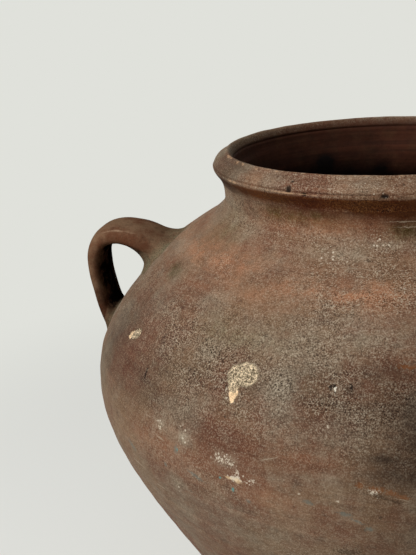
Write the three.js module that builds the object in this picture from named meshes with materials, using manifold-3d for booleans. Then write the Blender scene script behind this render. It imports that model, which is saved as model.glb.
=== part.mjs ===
// A two-handled storage jar of coarse red earthenware, in the pieces that a potter makes and lutes together:
// a base disc, three thrown wall sections, a neck collar, a heavy rim band, two pulled strap handles, the
// soft clay worked round each handle's ends, and the coils pressed over the joints inside.
// Millimetres, +Z up, with the origin under the middle of the base and the handles along X.
import * as THREE from "three";
import { mergeVertices } from "three/addons/utils/BufferGeometryUtils.js";
import Module from "manifold-3d";

const wasm = await Module();
wasm.setup();

// Driving dimensions of the jar's outline
const HEIGHT = 405;
const BASE_RADIUS = 92;
const FOOT_ANGLE = THREE.MathUtils.degToRad(58.6);
const BELLY_RADIUS = 216;
const BELLY_HEIGHT = 246;
const SHOULDER_RADIUS = 169.7;
const SHOULDER_HEIGHT = 325.8;
const SHOULDER_SLOPE = THREE.MathUtils.degToRad(46.5);
const NECK_RADIUS = 115.1;
const NECK_HEIGHT = 372.4;
const RIM_RADIUS = 123;
const RIM_EDGE_HEIGHT = 395;
const RIM_FOOT_RADIUS = 117.2;
const RIM_FOOT_HEIGHT = 385;
const LIP_RADIUS = 112;
const MOUTH_RADIUS = 108;
const LIP_ROUND = 2;
const MOUTH_EDGE_DROP = 7;
const RIM_NOSE = 1.6;
const RIM_HOLLOW = 0.4;
const RIM_CROWN = 1.3;

// How far each curve of the outline leans along its end tangents before it turns
const FOOT_REACH = 240;
const BELLY_REACH = 22.3;
const SHOULDER_REACH_DOWN = 59.8;
const SHOULDER_REACH_UP = 32.3;
const NECK_REACH = 16;

// Wall and joints
const WALL = 11;
const RIDGE = 4;
const JOINT_GAP = 0.4;
const CLEARANCE = 0.3;
const BASE_JOINT = 8;
const LOWER_JOINT = 130;
const UPPER_JOINT = 238;
const NECK_JOINT = 356;
const RIM_JOINT = 384;
const BASE_EDGE_WEAR = 4;
const SEGMENTS = 48;
const RIM_STEPS = 3;
const BODY_RINGS = 44;
const HALVINGS = 40;

// Coils pressed over the joints inside
const CORNER_COIL = 17;
const SEAM_COIL_HEIGHT = 30;
const SEAM_COIL_BULGE = 4.5;
const COIL_EDGE = 0.8;
const COIL_CLEARANCE = 0.5;
const COIL_STEPS = 5;

// Handles: the strap's centre line runs from inside the shoulder, over the crown and down into the belly
const STRAP_CENTRE_LINE = [
  [150, 320],
  [170, 330],
  [187, 337.4],
  [202, 340.8],
  [213, 337],
  [219.4, 326.5],
  [220.2, 312],
  [218.2, 297],
  [214.4, 280],
  [206, 259],
];
const STRAP_WIDTHS = [48, 43, 42, 41, 41, 44];
const STRAP_THICKNESSES = [20, 14.5, 11.8, 10.4, 10.2, 12];
const STRAP_SQUARENESS = 0.6;
const STRAP_SIDES = 18;
const STRAP_STEPS = 24;
const LUTE_STEPS = 5;
const LUTE_SPREAD = 4.5;
const LUTE_LIP = 0.8;
const LUTE_LENGTH = 19;
const LUTE_BURIED = 0.6;

const FIRED_CLAY = { color: 0x6b4a3a, roughness: 0.88, metalness: 0 };
const HANDLE_CLAY = { color: 0x553a2d, roughness: 0.62, metalness: 0 };
const INNER_CLAY = { color: 0x4a3026, roughness: 0.92, metalness: 0 };

// The outer outline from the foot to the underside of the rim, as radius and height
function jarOutline() {
  const foot = new THREE.Vector2(BASE_RADIUS, 0);
  const belly = new THREE.Vector2(BELLY_RADIUS, BELLY_HEIGHT);
  const shoulder = new THREE.Vector2(SHOULDER_RADIUS, SHOULDER_HEIGHT);
  const neck = new THREE.Vector2(NECK_RADIUS, NECK_HEIGHT);
  const rimFoot = new THREE.Vector2(RIM_FOOT_RADIUS, RIM_FOOT_HEIGHT);
  const up = new THREE.Vector2(0, 1);
  const footRise = new THREE.Vector2(Math.cos(FOOT_ANGLE), Math.sin(FOOT_ANGLE));
  const shoulderRise = new THREE.Vector2(-Math.cos(SHOULDER_SLOPE), Math.sin(SHOULDER_SLOPE));
  const rimFlare = rimFoot.clone().sub(neck);
  const lean = (point, direction, reach) => point.clone().addScaledVector(direction, reach);
  const path = new THREE.CurvePath();
  path.add(new THREE.CubicBezierCurve(
    foot, lean(foot, footRise, FOOT_REACH), lean(belly, up, -BELLY_REACH), belly));
  path.add(new THREE.CubicBezierCurve(
    belly, lean(belly, up, BELLY_REACH), lean(shoulder, shoulderRise, -SHOULDER_REACH_DOWN), shoulder));
  path.add(new THREE.CubicBezierCurve(
    shoulder, lean(shoulder, shoulderRise, SHOULDER_REACH_UP), lean(neck, up, -NECK_REACH), neck));
  path.add(new THREE.QuadraticBezierCurve(
    neck, lean(neck, up, rimFlare.y / 2), rimFoot));
  return path;
}

const outline = jarOutline();
const outlineLength = outline.getLength();

// The share of the outline's length at which it passes a height
function shareAt(height) {
  let low = 0;
  let high = 1;
  for (let step = 0; step < HALVINGS; step++) {
    const middle = (low + high) / 2;
    if (outline.getPoint(middle).y < height) low = middle;
    else high = middle;
  }
  return low;
}

// A point beside the outline: out of the wall by a distance, and on along the outline by another
function beside(share, out, along = 0) {
  const run = outline.getTangent(share);
  const point = outline.getPoint(share);
  point.x += run.y * out + run.x * along;
  point.y += -run.x * out + run.y * along;
  return point;
}

const steps = (count, make) => Array.from({ length: count + 1 }, (_, i) => make(i / count));
const blend = THREE.MathUtils.lerp;

// The ridged end of a wall at a joint, from its outer corner over the ridge to its inner corner
function jointEnd(share) {
  return [beside(share, 0), beside(share, -WALL / 2, RIDGE), beside(share, -WALL)];
}

const halfGap = JOINT_GAP / 2 / outlineLength;
const above = (height) => shareAt(height) + halfGap;
const below = (height) => shareAt(height) - halfGap;

// Turns an outline of radius and height round the jar's axis
function turned(points) {
  return new THREE.LatheGeometry(points, SEGMENTS).rotateX(Math.PI / 2);
}

function closed(points) {
  return [...points, points[0].clone()];
}

// One thrown section of wall between two joints: a groove below, a ridge above
function wallSection(fromHeight, toHeight, rings) {
  const from = above(fromHeight);
  const to = below(toHeight);
  const outside = steps(rings, (s) => beside(blend(from, to, s), 0));
  const inside = steps(rings, (s) => beside(blend(to, from, s), -WALL));
  const crest = jointEnd(to)[1];
  const groove = jointEnd(from)[1];
  return turned(closed([...outside, crest, ...inside, groove]));
}

function baseDisc() {
  const [outer, crest, inner] = jointEnd(below(BASE_JOINT));
  const worn = new THREE.QuadraticBezierCurve(
    new THREE.Vector2(BASE_RADIUS - BASE_EDGE_WEAR, 0),
    new THREE.Vector2(BASE_RADIUS, 0),
    beside(shareAt(BASE_EDGE_WEAR), 0),
  ).getPoints(RIM_STEPS);
  const axisBelow = new THREE.Vector2(0, 0);
  const axisAbove = new THREE.Vector2(0, inner.y);
  return turned([axisBelow, ...worn, outer, crest, inner, axisAbove]);
}

// The coil in the corner of base and wall, with a hollow face wiped by a finger
function cornerCoil() {
  const floor = jointEnd(below(BASE_JOINT))[2].y + CLEARANCE;
  const start = above(BASE_JOINT);
  const onWall = (rise) => beside(start, -WALL - CLEARANCE, rise);
  const corner = new THREE.Vector2(onWall(0).x, floor);
  const high = onWall(CORNER_COIL);
  const low = new THREE.Vector2(corner.x - CORNER_COIL, floor);
  const faceTop = high.clone().setX(high.x - COIL_EDGE);
  const faceFoot = low.clone().setY(low.y + COIL_EDGE);
  const bend = new THREE.Vector2(corner.x - CORNER_COIL / 4, floor + CORNER_COIL / 4);
  const face = new THREE.QuadraticBezierCurve(faceTop, bend, faceFoot).getPoints(COIL_STEPS);
  return turned(closed([low, corner, high, ...face]));
}

// A strip of soft clay smeared over a joint inside the jar, thickest over the joint itself
function seamCoil(height) {
  const middle = shareAt(height);
  const half = SEAM_COIL_HEIGHT / 2 / outlineLength;
  const depth = WALL + COIL_CLEARANCE;
  const swell = (s) => COIL_EDGE + SEAM_COIL_BULGE * Math.sin(Math.PI * s) ** 2;
  const backed = steps(COIL_STEPS, (s) => beside(blend(middle - half, middle + half, s), -depth));
  const faced = steps(COIL_STEPS, (s) => beside(blend(middle + half, middle - half, s), -depth - swell(s)));
  return turned(closed([...backed, ...faced]));
}

// The control point of a curve between two points that swells out by a distance, or in where it is negative
function swelled(from, to, out) {
  const run = to.clone().sub(from).normalize();
  return from.clone().lerp(to, 0.5).add(new THREE.Vector2(run.y, -run.x).multiplyScalar(2 * out));
}

// The rim: a sloped band over a worn edge, with the lip on top and a bevel down to the mouth
function rimBand() {
  const [outer, groove, inner] = jointEnd(above(RIM_JOINT));
  const point = (radius, height) => new THREE.Vector2(radius, height);
  const edgeBelow = point(RIM_RADIUS - RIM_NOSE / 2, RIM_EDGE_HEIGHT - RIM_NOSE);
  const edge = point(RIM_RADIUS + RIM_NOSE / 2, RIM_EDGE_HEIGHT);
  const edgeAbove = point(RIM_RADIUS - RIM_NOSE / 2, RIM_EDGE_HEIGHT + RIM_NOSE);
  const lipOutside = point(LIP_RADIUS + LIP_ROUND, HEIGHT - LIP_ROUND);
  const lip = point(LIP_RADIUS, HEIGHT + LIP_ROUND);
  const lipInside = point(LIP_RADIUS - LIP_ROUND, HEIGHT - LIP_ROUND);
  const mouth = point(MOUTH_RADIUS, HEIGHT - MOUTH_EDGE_DROP);
  const band = new THREE.CurvePath();
  band.add(new THREE.QuadraticBezierCurve(outer, swelled(outer, edgeBelow, -RIM_HOLLOW), edgeBelow));
  band.add(new THREE.QuadraticBezierCurve(edgeBelow, edge, edgeAbove));
  band.add(new THREE.QuadraticBezierCurve(edgeAbove, swelled(edgeAbove, lipOutside, RIM_CROWN), lipOutside));
  band.add(new THREE.QuadraticBezierCurve(lipOutside, lip, lipInside));
  band.add(new THREE.LineCurve(lipInside, mouth));
  band.add(new THREE.QuadraticBezierCurve(mouth, swelled(mouth, inner, -RIM_HOLLOW), inner));
  return turned(closed([...band.getPoints(RIM_STEPS), groove]));
}

// A closed skin over rings of points that all run the same way round, capped at both ends
function skin(rings) {
  const sides = rings[0].length;
  const last = (rings.length - 1) * sides;
  const triangles = [];
  for (let ring = 0; ring + 1 < rings.length; ring++) {
    for (let side = 0; side < sides; side++) {
      const here = ring * sides + side;
      const next = ring * sides + ((side + 1) % sides);
      triangles.push(here, next, next + sides, here, next + sides, here + sides);
    }
  }
  for (let side = 1; side + 1 < sides; side++) {
    triangles.push(0, side + 1, side);
    triangles.push(last, last + side, last + side + 1);
  }
  const geometry = new THREE.BufferGeometry().setFromPoints(rings.flat());
  geometry.setIndex(triangles);
  return geometry;
}

function solid(geometry) {
  const bare = geometry.clone();
  bare.deleteAttribute("normal");
  bare.deleteAttribute("uv");
  const merged = mergeVertices(bare, 1e-4);
  const vertProperties = merged.attributes.position.array;
  const triVerts = new Uint32Array(merged.index.array);
  return new wasm.Manifold(new wasm.Mesh({ numProp: 3, vertProperties, triVerts }));
}

function surface(manifold) {
  const { vertProperties, triVerts } = manifold.getMesh();
  const geometry = new THREE.BufferGeometry();
  geometry.setAttribute("position", new THREE.BufferAttribute(vertProperties, 3));
  geometry.setIndex(new THREE.BufferAttribute(triVerts, 1));
  return geometry;
}

// The whole jar as one filled body, a little larger than the wall: what handles and lutes are fitted against
function jarBody() {
  const outside = steps(BODY_RINGS, (s) => beside(s, CLEARANCE));
  const axisBelow = new THREE.Vector2(0, outside[0].y);
  const axisAbove = new THREE.Vector2(0, outside[BODY_RINGS].y);
  return solid(turned([axisBelow, ...outside, axisAbove]));
}

const strapPath = new THREE.CatmullRomCurve3(
  STRAP_CENTRE_LINE.map(([radius, height]) => new THREE.Vector3(radius, 0, height)),
);
const strapLength = strapPath.getLength();

// A value that runs smoothly through a row of values spaced evenly along the strap
function smooth(values, share) {
  const curve = new THREE.SplineCurve(values.map((value, i) => new THREE.Vector2(i, value)));
  return curve.getPoint(share).y;
}

// One cross-section of the strap: a flat oval, square to the centre line, grown all round by a distance
// and then shifted towards the fingers
function strapRing(share, grown = 0, shift = 0) {
  const centre = strapPath.getPointAt(share);
  const run = strapPath.getTangentAt(share);
  const halfWidth = smooth(STRAP_WIDTHS, share) / 2 + grown;
  const halfThickness = smooth(STRAP_THICKNESSES, share) / 2 + grown;
  const full = (value) => Math.sign(value) * Math.abs(value) ** STRAP_SQUARENESS;
  return Array.from({ length: STRAP_SIDES }, (_, i) => {
    const turn = (2 * Math.PI * i) / STRAP_SIDES;
    const across = halfWidth * full(Math.cos(turn));
    const through = halfThickness * full(Math.sin(turn)) - shift;
    return new THREE.Vector3(centre.x - run.z * through, across, centre.z + run.x * through);
  });
}

function strapSkin(grown) {
  return solid(skin(steps(STRAP_STEPS, (s) => strapRing(s, grown))));
}

// Where the strap's centre line passes through the jar's surface, as a share of its length
function strapMeets(fromShare, toShare) {
  let inside = fromShare;
  let outside = toShare;
  for (let step = 0; step < HALVINGS; step++) {
    const middle = (inside + outside) / 2;
    const point = strapPath.getPointAt(middle);
    if (point.x < outline.getPoint(shareAt(point.z)).x) inside = middle;
    else outside = middle;
  }
  return outside;
}

const jar = jarBody();
const strap = strapSkin(0);
const strapRoom = strapSkin(CLEARANCE);
const upperRoot = strapMeets(0, 0.5);
const lowerRoot = strapMeets(1, 0.5);

// Soft clay worked round one end of the strap: widest on the wall, feathered out along the strap
function lute(root, end) {
  const reach = root + Math.sign(0.5 - end) * (LUTE_LENGTH / strapLength);
  const spread = (s) => LUTE_SPREAD * (1 - s) ** 2;
  const flared = (share, s) => strapRing(share, LUTE_LIP + spread(s), spread(s));
  const flare = steps(LUTE_STEPS, (s) => flared(blend(root, reach, s), s));
  const rings = [flared(blend(root, end, LUTE_BURIED), 0), ...flare];
  if (end > 0.5) rings.reverse();
  return surface(solid(skin(rings)).subtract(jar).subtract(strapRoom));
}

const urn = new THREE.Group();

function piece(name, geometry, finish, turn = 0) {
  const mesh = new THREE.Mesh(geometry, new THREE.MeshStandardMaterial(finish));
  mesh.name = name;
  mesh.rotation.z = turn;
  urn.add(mesh);
}

piece("base_disc", baseDisc(), FIRED_CLAY);
piece("base_corner_coil", cornerCoil(), INNER_CLAY);
piece("lower_wall", wallSection(BASE_JOINT, LOWER_JOINT, 4), FIRED_CLAY);
piece("lower_seam_coil", seamCoil(LOWER_JOINT), INNER_CLAY);
piece("middle_wall", wallSection(LOWER_JOINT, UPPER_JOINT, 10), FIRED_CLAY);
piece("upper_seam_coil", seamCoil(UPPER_JOINT), INNER_CLAY);
piece("shoulder_wall", wallSection(UPPER_JOINT, NECK_JOINT, 15), FIRED_CLAY);
piece("neck_collar", wallSection(NECK_JOINT, RIM_JOINT, 5), FIRED_CLAY);
piece("rim_band", rimBand(), FIRED_CLAY);

for (const [side, turn] of [["left", Math.PI], ["right", 0]]) {
  piece(`${side}_handle`, surface(strap.subtract(jar)), HANDLE_CLAY, turn);
  piece(`${side}_upper_lute`, lute(upperRoot, 0), HANDLE_CLAY, turn);
  piece(`${side}_lower_lute`, lute(lowerRoot, 1), HANDLE_CLAY, turn);
}

export default urn;
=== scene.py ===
"""A two-handled storage jar of coarse red earthenware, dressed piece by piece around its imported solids."""
import math
import bpy
import numpy as np
from mathutils import Matrix, Vector, noise


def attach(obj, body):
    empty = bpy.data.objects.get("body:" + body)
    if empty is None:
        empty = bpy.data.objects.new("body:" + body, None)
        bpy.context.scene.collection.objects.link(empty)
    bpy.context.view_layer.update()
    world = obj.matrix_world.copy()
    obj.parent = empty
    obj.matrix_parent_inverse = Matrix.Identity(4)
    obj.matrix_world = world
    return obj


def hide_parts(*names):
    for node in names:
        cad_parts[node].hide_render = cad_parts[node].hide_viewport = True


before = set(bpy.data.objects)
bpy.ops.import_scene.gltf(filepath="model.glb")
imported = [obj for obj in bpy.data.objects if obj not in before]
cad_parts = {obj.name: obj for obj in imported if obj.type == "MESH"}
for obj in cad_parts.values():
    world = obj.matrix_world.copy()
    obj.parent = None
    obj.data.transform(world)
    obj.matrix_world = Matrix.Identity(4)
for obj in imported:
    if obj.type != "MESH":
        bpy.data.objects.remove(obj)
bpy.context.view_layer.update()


# Base disc
# The slab that the jar stands on, beaten flat out of coarse red clay. The first wall section is luted onto
# the ridge round its top, and years of dragging have worn its lower edge round.

# The jar's outer outline in metres. A point is a radius and a height, a reach is how stiff the curve is
FOOT = np.array([0.092, 0.0])
BELLY = np.array([0.216, 0.246])
SHOULDER = np.array([0.1697, 0.3258])
NECK = np.array([0.1151, 0.3724])
RIM_FOOT = np.array([0.1172, 0.385])
UP = np.array([0.0, 1.0])
FOOT_LEAN = math.radians(58.6)
SHOULDER_LEAN = math.radians(133.5)
FOOT_RISE = np.array([math.cos(FOOT_LEAN), math.sin(FOOT_LEAN)])
SHOULDER_RISE = np.array([math.cos(SHOULDER_LEAN), math.sin(SHOULDER_LEAN)])
FOOT_REACH = 0.240
BELLY_REACH = 0.0223
SHOULDER_REACH_DOWN = 0.0598
SHOULDER_REACH_UP = 0.0323
NECK_REACH = 0.016
OUTLINE_STEPS = 400
WALL = 0.011


def bend(share, *corners):
    """A point on the curve that runs from the first corner to the last and leans towards those between."""
    points = list(corners)
    while len(points) > 1:
        points = [a + (b - a) * share for a, b in zip(points, points[1:])]
    return points[0]


def jar_outline():
    """The outer outline from the foot to the underside of the rim, as radius and height."""
    shares = np.linspace(0.0, 1.0, OUTLINE_STEPS)[:, None]
    curves = (
        (FOOT, FOOT + FOOT_REACH * FOOT_RISE, BELLY - BELLY_REACH * UP, BELLY),
        (BELLY, BELLY + BELLY_REACH * UP, SHOULDER - SHOULDER_REACH_DOWN * SHOULDER_RISE, SHOULDER),
        (SHOULDER, SHOULDER + SHOULDER_REACH_UP * SHOULDER_RISE, NECK - NECK_REACH * UP, NECK),
        (NECK, NECK + UP * (RIM_FOOT - NECK)[1] / 2, RIM_FOOT),
    )
    return np.vstack([bend(shares, *corners)[:-1] for corners in curves] + [RIM_FOOT[None]])


def travelled(line):
    """How far along a line of points each of them lies."""
    return np.concatenate([[0.0], np.cumsum(np.linalg.norm(np.diff(line, axis=0), axis=1))])


outline = jar_outline()
travel = travelled(outline)
slope = np.gradient(outline, travel, axis=0)
slope /= np.linalg.norm(slope, axis=1, keepdims=True)


def travel_at(height):
    """How far along the outline it passes a height."""
    return np.interp(height, outline[:, 1], travel)


def radius_at(height):
    """The outer radius of the jar at a height."""
    return np.interp(height, outline[:, 1], outline[:, 0])


def beside(gone, out=0.0, along=0.0):
    """Points beside the outline: out of the wall by a distance, and on along it by another."""
    gone = np.atleast_1d(gone)
    point = np.stack([np.interp(gone, travel, outline[:, axis]) for axis in (0, 1)], -1)
    run = np.stack([np.interp(gone, travel, slope[:, axis]) for axis in (0, 1)], -1)
    return point + np.stack([run[:, 1], -run[:, 0]], -1) * out + run * along


def section_rows(points, facing=0.0, ring_depth=0.0):
    """Rows of a half section: places, the way the clay faces there, and how deep the throwing rings are."""
    return np.column_stack([points, np.broadcast_to(facing, points.shape), np.full(len(points), ring_depth)])


def add(tree, kind, links=None, out=0, **settings):
    """Adds a node with its settings, feeds its sockets from links or plain values, and returns an output."""
    made = tree.nodes.new(kind)
    for name, value in settings.items():
        setattr(made, name, value)
    for socket, source in (links or {}).items():
        if isinstance(source, bpy.types.NodeSocket):
            tree.links.new(source, made.inputs[socket])
        else:
            made.inputs[socket].default_value = source
    return made.outputs if out is None else made.outputs[out]


def span(start, full, least=0.0, most=1.0):
    """The sockets of a map range: where it starts and is full, and the least and the most that it gives."""
    return {1: start, 2: full, 3: least, 4: most}


# Where nearly all values of a noise pattern lie
COMMON_NOISE = (0.3, 0.7)
# What the potter's hand leaves on the wheel: a slow wobble, small lumps and throwing rings
STEPS_AROUND = 700
OUTSIDE_RING_DEPTH = 0.00012
RING_PITCH = 0.013
RING_SWAY = 2.0
WOBBLE = 0.0005
WOBBLE_SPAN = 0.22
LUMP = 0.00022
LUMP_SPAN = 0.024
HAND_SEED = 4.0
WELD = 0.00001
SHARP_CORNER = math.radians(48)


def potters_wheel():
    """Turns a half section once round the jar's axis, with the wobble, lumps and rings that a hand leaves."""
    tree = bpy.data.node_groups.new("potters_wheel", "GeometryNodeTree")
    inputs = {
        "Half Section": "NodeSocketGeometry", "Steps Around": "NodeSocketInt", "Wobble": "NodeSocketFloat",
        "Wobble Span": "NodeSocketFloat", "Lump": "NodeSocketFloat", "Lump Span": "NodeSocketFloat",
        "Ring Pitch": "NodeSocketFloat", "Dents Around": "NodeSocketFloat", "Dent Depth": "NodeSocketFloat",
        "Seed": "NodeSocketFloat", "Clay": "NodeSocketMaterial",
    }
    for name, kind in inputs.items():
        tree.interface.new_socket(name, in_out="INPUT", socket_type=kind)
    tree.interface.new_socket("Thrown Clay", in_out="OUTPUT", socket_type="NodeSocketGeometry")
    given = add(tree, "NodeGroupInput", out=None)

    # A sheet with one column for each step round the jar and one row for each point of the section
    rows = add(tree, "GeometryNodeAttributeDomainSize", {0: given["Half Section"]}, component="MESH")
    columns = add(tree, "FunctionNodeIntegerMath", {0: given["Steps Around"], 1: 1}, operation="ADD")
    sheet = add(tree, "GeometryNodeMeshGrid", {"Vertices X": columns, "Vertices Y": rows})
    index = add(tree, "GeometryNodeInputIndex")
    row = add(tree, "FunctionNodeIntegerMath", {0: index, 1: rows}, operation="MODULO")
    column = add(tree, "FunctionNodeIntegerMath", {0: index, 1: rows}, operation="DIVIDE_FLOOR")
    share = add(tree, "ShaderNodeMath", {0: column, 1: given["Steps Around"]}, operation="DIVIDE")
    angle = add(tree, "ShaderNodeMath", {0: share, 1: math.tau}, operation="MULTIPLY")
    turned = []
    for source in (
        add(tree, "GeometryNodeInputPosition"),
        add(tree, "GeometryNodeInputNamedAttribute", {"Name": "facing"}, data_type="FLOAT_VECTOR"),
        (1.0, 0.0, 0.0),
    ):
        if isinstance(source, bpy.types.NodeSocket):
            links = {"Geometry": given["Half Section"], "Value": source, "Index": row}
            source = add(tree, "GeometryNodeSampleIndex", links, data_type="FLOAT_VECTOR")
        links = {"Vector": source, "Angle": angle}
        turned.append(add(tree, "ShaderNodeVectorRotate", links, rotation_type="Z_AXIS"))
    place, facing, outward = turned

    # How far each point stands out of the true shape
    swings = []
    for width in ("Wobble Span", "Lump Span"):
        scale = add(tree, "ShaderNodeMath", {0: 1.0, 1: given[width]}, operation="DIVIDE")
        links = {"Vector": place, "W": given["Seed"], "Scale": scale, "Detail": 2.0}
        hand = add(tree, "ShaderNodeTexNoise", links, noise_dimensions="4D")
        links = {0: hand, **span(*COMMON_NOISE, -1.0, 1.0)}
        swings.append(add(tree, "ShaderNodeMapRange", links, clamp=False))
    wobble, lump = swings
    height = add(tree, "ShaderNodeSeparateXYZ", {0: place}, out="Z")
    rings = add(tree, "ShaderNodeMath", {0: height, 1: given["Ring Pitch"]}, operation="DIVIDE")
    winding = add(tree, "ShaderNodeMath", {0: rings, 1: math.tau, 2: angle}, operation="MULTIPLY_ADD")
    uneven = add(tree, "ShaderNodeMath", {0: wobble, 1: RING_SWAY, 2: winding}, operation="MULTIPLY_ADD")
    ring = add(tree, "ShaderNodeMath", {0: uneven}, operation="SINE")
    depth = add(tree, "GeometryNodeInputNamedAttribute", {"Name": "ring_depth"}, data_type="FLOAT")
    links = {"Geometry": given["Half Section"], "Value": depth, "Index": row}
    ring_depth = add(tree, "GeometryNodeSampleIndex", links, data_type="FLOAT")
    links = {0: angle, 1: given["Dents Around"], 2: lump}
    fingers = add(tree, "ShaderNodeMath", links, operation="MULTIPLY_ADD")
    dent = add(tree, "ShaderNodeMath", {0: fingers}, operation="SINE")
    proud = add(tree, "ShaderNodeMath", {0: lump, 1: given["Lump"]}, operation="MULTIPLY")
    for swing, reach in ((ring, ring_depth), (dent, given["Dent Depth"])):
        proud = add(tree, "ShaderNodeMath", {0: swing, 1: reach, 2: proud}, operation="MULTIPLY_ADD")
    wobble = add(tree, "ShaderNodeMath", {0: wobble, 1: given["Wobble"]}, operation="MULTIPLY")
    for way, reach in ((facing, proud), (outward, wobble)):
        move = add(tree, "ShaderNodeVectorMath", {0: way, "Scale": reach}, operation="SCALE")
        place = add(tree, "ShaderNodeVectorMath", {0: place, 1: move}, operation="ADD")

    # The sheet is wrapped round, welded where it meets itself and at the axis, and given its clay
    clay = add(tree, "GeometryNodeSetPosition", {"Geometry": sheet, "Position": place})
    clay = add(tree, "GeometryNodeMergeByDistance", {"Geometry": clay, "Distance": WELD})
    clay = add(tree, "GeometryNodeSetShadeSmooth", {0: clay})
    clay = add(tree, "GeometryNodeRealizeInstances", {0: clay})
    clay = add(tree, "GeometryNodeSetMaterial", {"Geometry": clay, "Material": given["Clay"]})
    add(tree, "NodeGroupOutput", {0: clay}, out=None)
    return tree


wheel = potters_wheel()


def throw(node, half_section, clay, dents=0.0, dent_depth=0.0):
    """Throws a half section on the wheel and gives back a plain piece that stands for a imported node."""
    mesh = bpy.data.meshes.new("clay_" + node)
    places = [(radius, 0.0, height) for radius, height in half_section[:, :2]]
    mesh.from_pydata(places, [(i, i + 1) for i in range(len(places) - 1)], [])
    facing = np.insert(half_section[:, 2:4], 1, 0.0, axis=1)
    mesh.attributes.new("facing", "FLOAT_VECTOR", "POINT").data.foreach_set("vector", facing.ravel())
    mesh.attributes.new("ring_depth", "FLOAT", "POINT").data.foreach_set("value", half_section[:, 4].copy())
    piece = bpy.data.objects.new("clay_" + node, mesh)
    bpy.context.scene.collection.objects.link(piece)
    turning = piece.modifiers.new("wheel", "NODES")
    turning.node_group = wheel
    values = {
        "Steps Around": STEPS_AROUND, "Wobble": WOBBLE, "Wobble Span": WOBBLE_SPAN, "Lump": LUMP,
        "Lump Span": LUMP_SPAN, "Ring Pitch": RING_PITCH, "Dents Around": dents, "Dent Depth": dent_depth,
        "Seed": HAND_SEED, "Clay": clay,
    }
    for socket in wheel.interface.items_tree:
        if socket.name in values:
            turning[socket.identifier] = values[socket.name]
    evaluated = piece.evaluated_get(bpy.context.evaluated_depsgraph_get())
    thrown = bpy.data.meshes.new_from_object(evaluated)
    piece.modifiers.clear()
    piece.data = thrown
    bpy.data.meshes.remove(mesh)
    thrown.name = "clay_" + node
    thrown.set_sharp_from_angle(angle=SHARP_CORNER)
    return piece


def places_of(piece):
    """The places of a piece's vertices, one row each."""
    places = np.empty(len(piece.data.vertices) * 3, np.float32)
    piece.data.vertices.foreach_get("co", places)
    return places.reshape(-1, 3).astype(float)


def from_axis(places):
    """How far places lie from the jar's axis."""
    return np.hypot(places[..., 0], places[..., 1])


def ramp(values, start, full):
    """Values turned into shares that rise from 0 at the start to 1 where they are full."""
    return np.clip((values - start) / (full - start), 0.0, 1.0)


def mark(piece, name, values):
    """Keeps one value for each vertex of a piece, for its material to read."""
    layer = piece.data.attributes.new(name, "FLOAT", "POINT")
    layer.data.foreach_set("value", np.ascontiguousarray(values, np.float32))


def settle(piece, node):
    """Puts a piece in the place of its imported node, on the jar's one body."""
    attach(piece, "root")
    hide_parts(node)


def linear(code):
    """An sRGB hex colour as the linear colour that a socket takes."""
    channels = [int(code[start:start + 2], 16) / 255 for start in (1, 3, 5)]
    return tuple(c / 12.92 if c <= 0.04045 else ((c + 0.055) / 1.055) ** 2.4 for c in channels) + (1.0,)


def new_skin(name):
    """A new material with an empty tree, and the place that its patterns are drawn by."""
    material = bpy.data.materials.new(name)
    material.use_nodes = True
    tree = material.node_tree
    tree.nodes.clear()
    return material, tree, add(tree, "ShaderNodeTexCoord", out="Object")


def surfaced(tree, skin, dullness, relief, shine):
    """Finishes a clay from its colour, dullness, relief in metres and how much light it throws back."""
    bumps = add(tree, "ShaderNodeBump", {"Height": relief, "Distance": 1.0, "Strength": 1.0})
    links = {"Base Color": skin, "Roughness": dullness, "Normal": bumps, "Specular IOR Level": shine}
    surface = add(tree, "ShaderNodeBsdfPrincipled", links)
    add(tree, "ShaderNodeOutputMaterial", {"Surface": surface}, out=None)


def mottled(tree, place, skin, patches):
    """Lays patches over a skin colour: colour, size, seed, where a patch starts and is full, most cover."""
    for colour, size, seed, start, full, most in patches:
        links = {"Vector": place, "W": seed, "Scale": 1 / size, "Detail": 6.0, "Roughness": 0.66}
        patch = add(tree, "ShaderNodeTexNoise", links, noise_dimensions="4D")
        links = {0: patch, **span(start, full, 0.0, most)}
        cover = add(tree, "ShaderNodeMapRange", links, interpolation_type="SMOOTHSTEP")
        skin = add(tree, "ShaderNodeMix", {0: cover, 6: skin, 7: linear(colour)}, out=2, data_type="RGBA")
    return skin


RAGGED_EDGE = (0.36, 0.62)


def stained(tree, place, skin, stains, blend="MIX"):
    """Lays stains over a skin colour where the piece is marked with them; some marks carry painted shade.

    A stain is its mark's name, colour, size of ragged edge, seed, least cover and most cover.
    """
    for name, colour, size, seed, least, most in stains:
        field = add(tree, "ShaderNodeAttribute", out="Fac", attribute_name=name)
        links = {"Vector": place, "W": seed, "Scale": 1 / size, "Detail": 6.0, "Roughness": 0.70}
        ragged = add(tree, "ShaderNodeTexNoise", links, noise_dimensions="4D")
        links = {0: ragged, **span(*RAGGED_EDGE, least, most)}
        ragged = add(tree, "ShaderNodeMapRange", links, interpolation_type="SMOOTHSTEP")
        cover = add(tree, "ShaderNodeMath", {0: field, 1: ragged}, operation="MULTIPLY", use_clamp=True)
        links = {0: cover, 6: skin, 7: linear(colour)}
        skin = add(tree, "ShaderNodeMix", links, out=2, data_type="RGBA", blend_type=blend)
    return skin


# Wiping bands and finer streaks: length round the jar, height, detail, darkest and palest tone
WIPING = ((1 / 9, 1 / 300, 4.0, 0.88, 1.12), (1 / 22, 1 / 900, 3.0, 0.90, 1.10))


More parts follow.
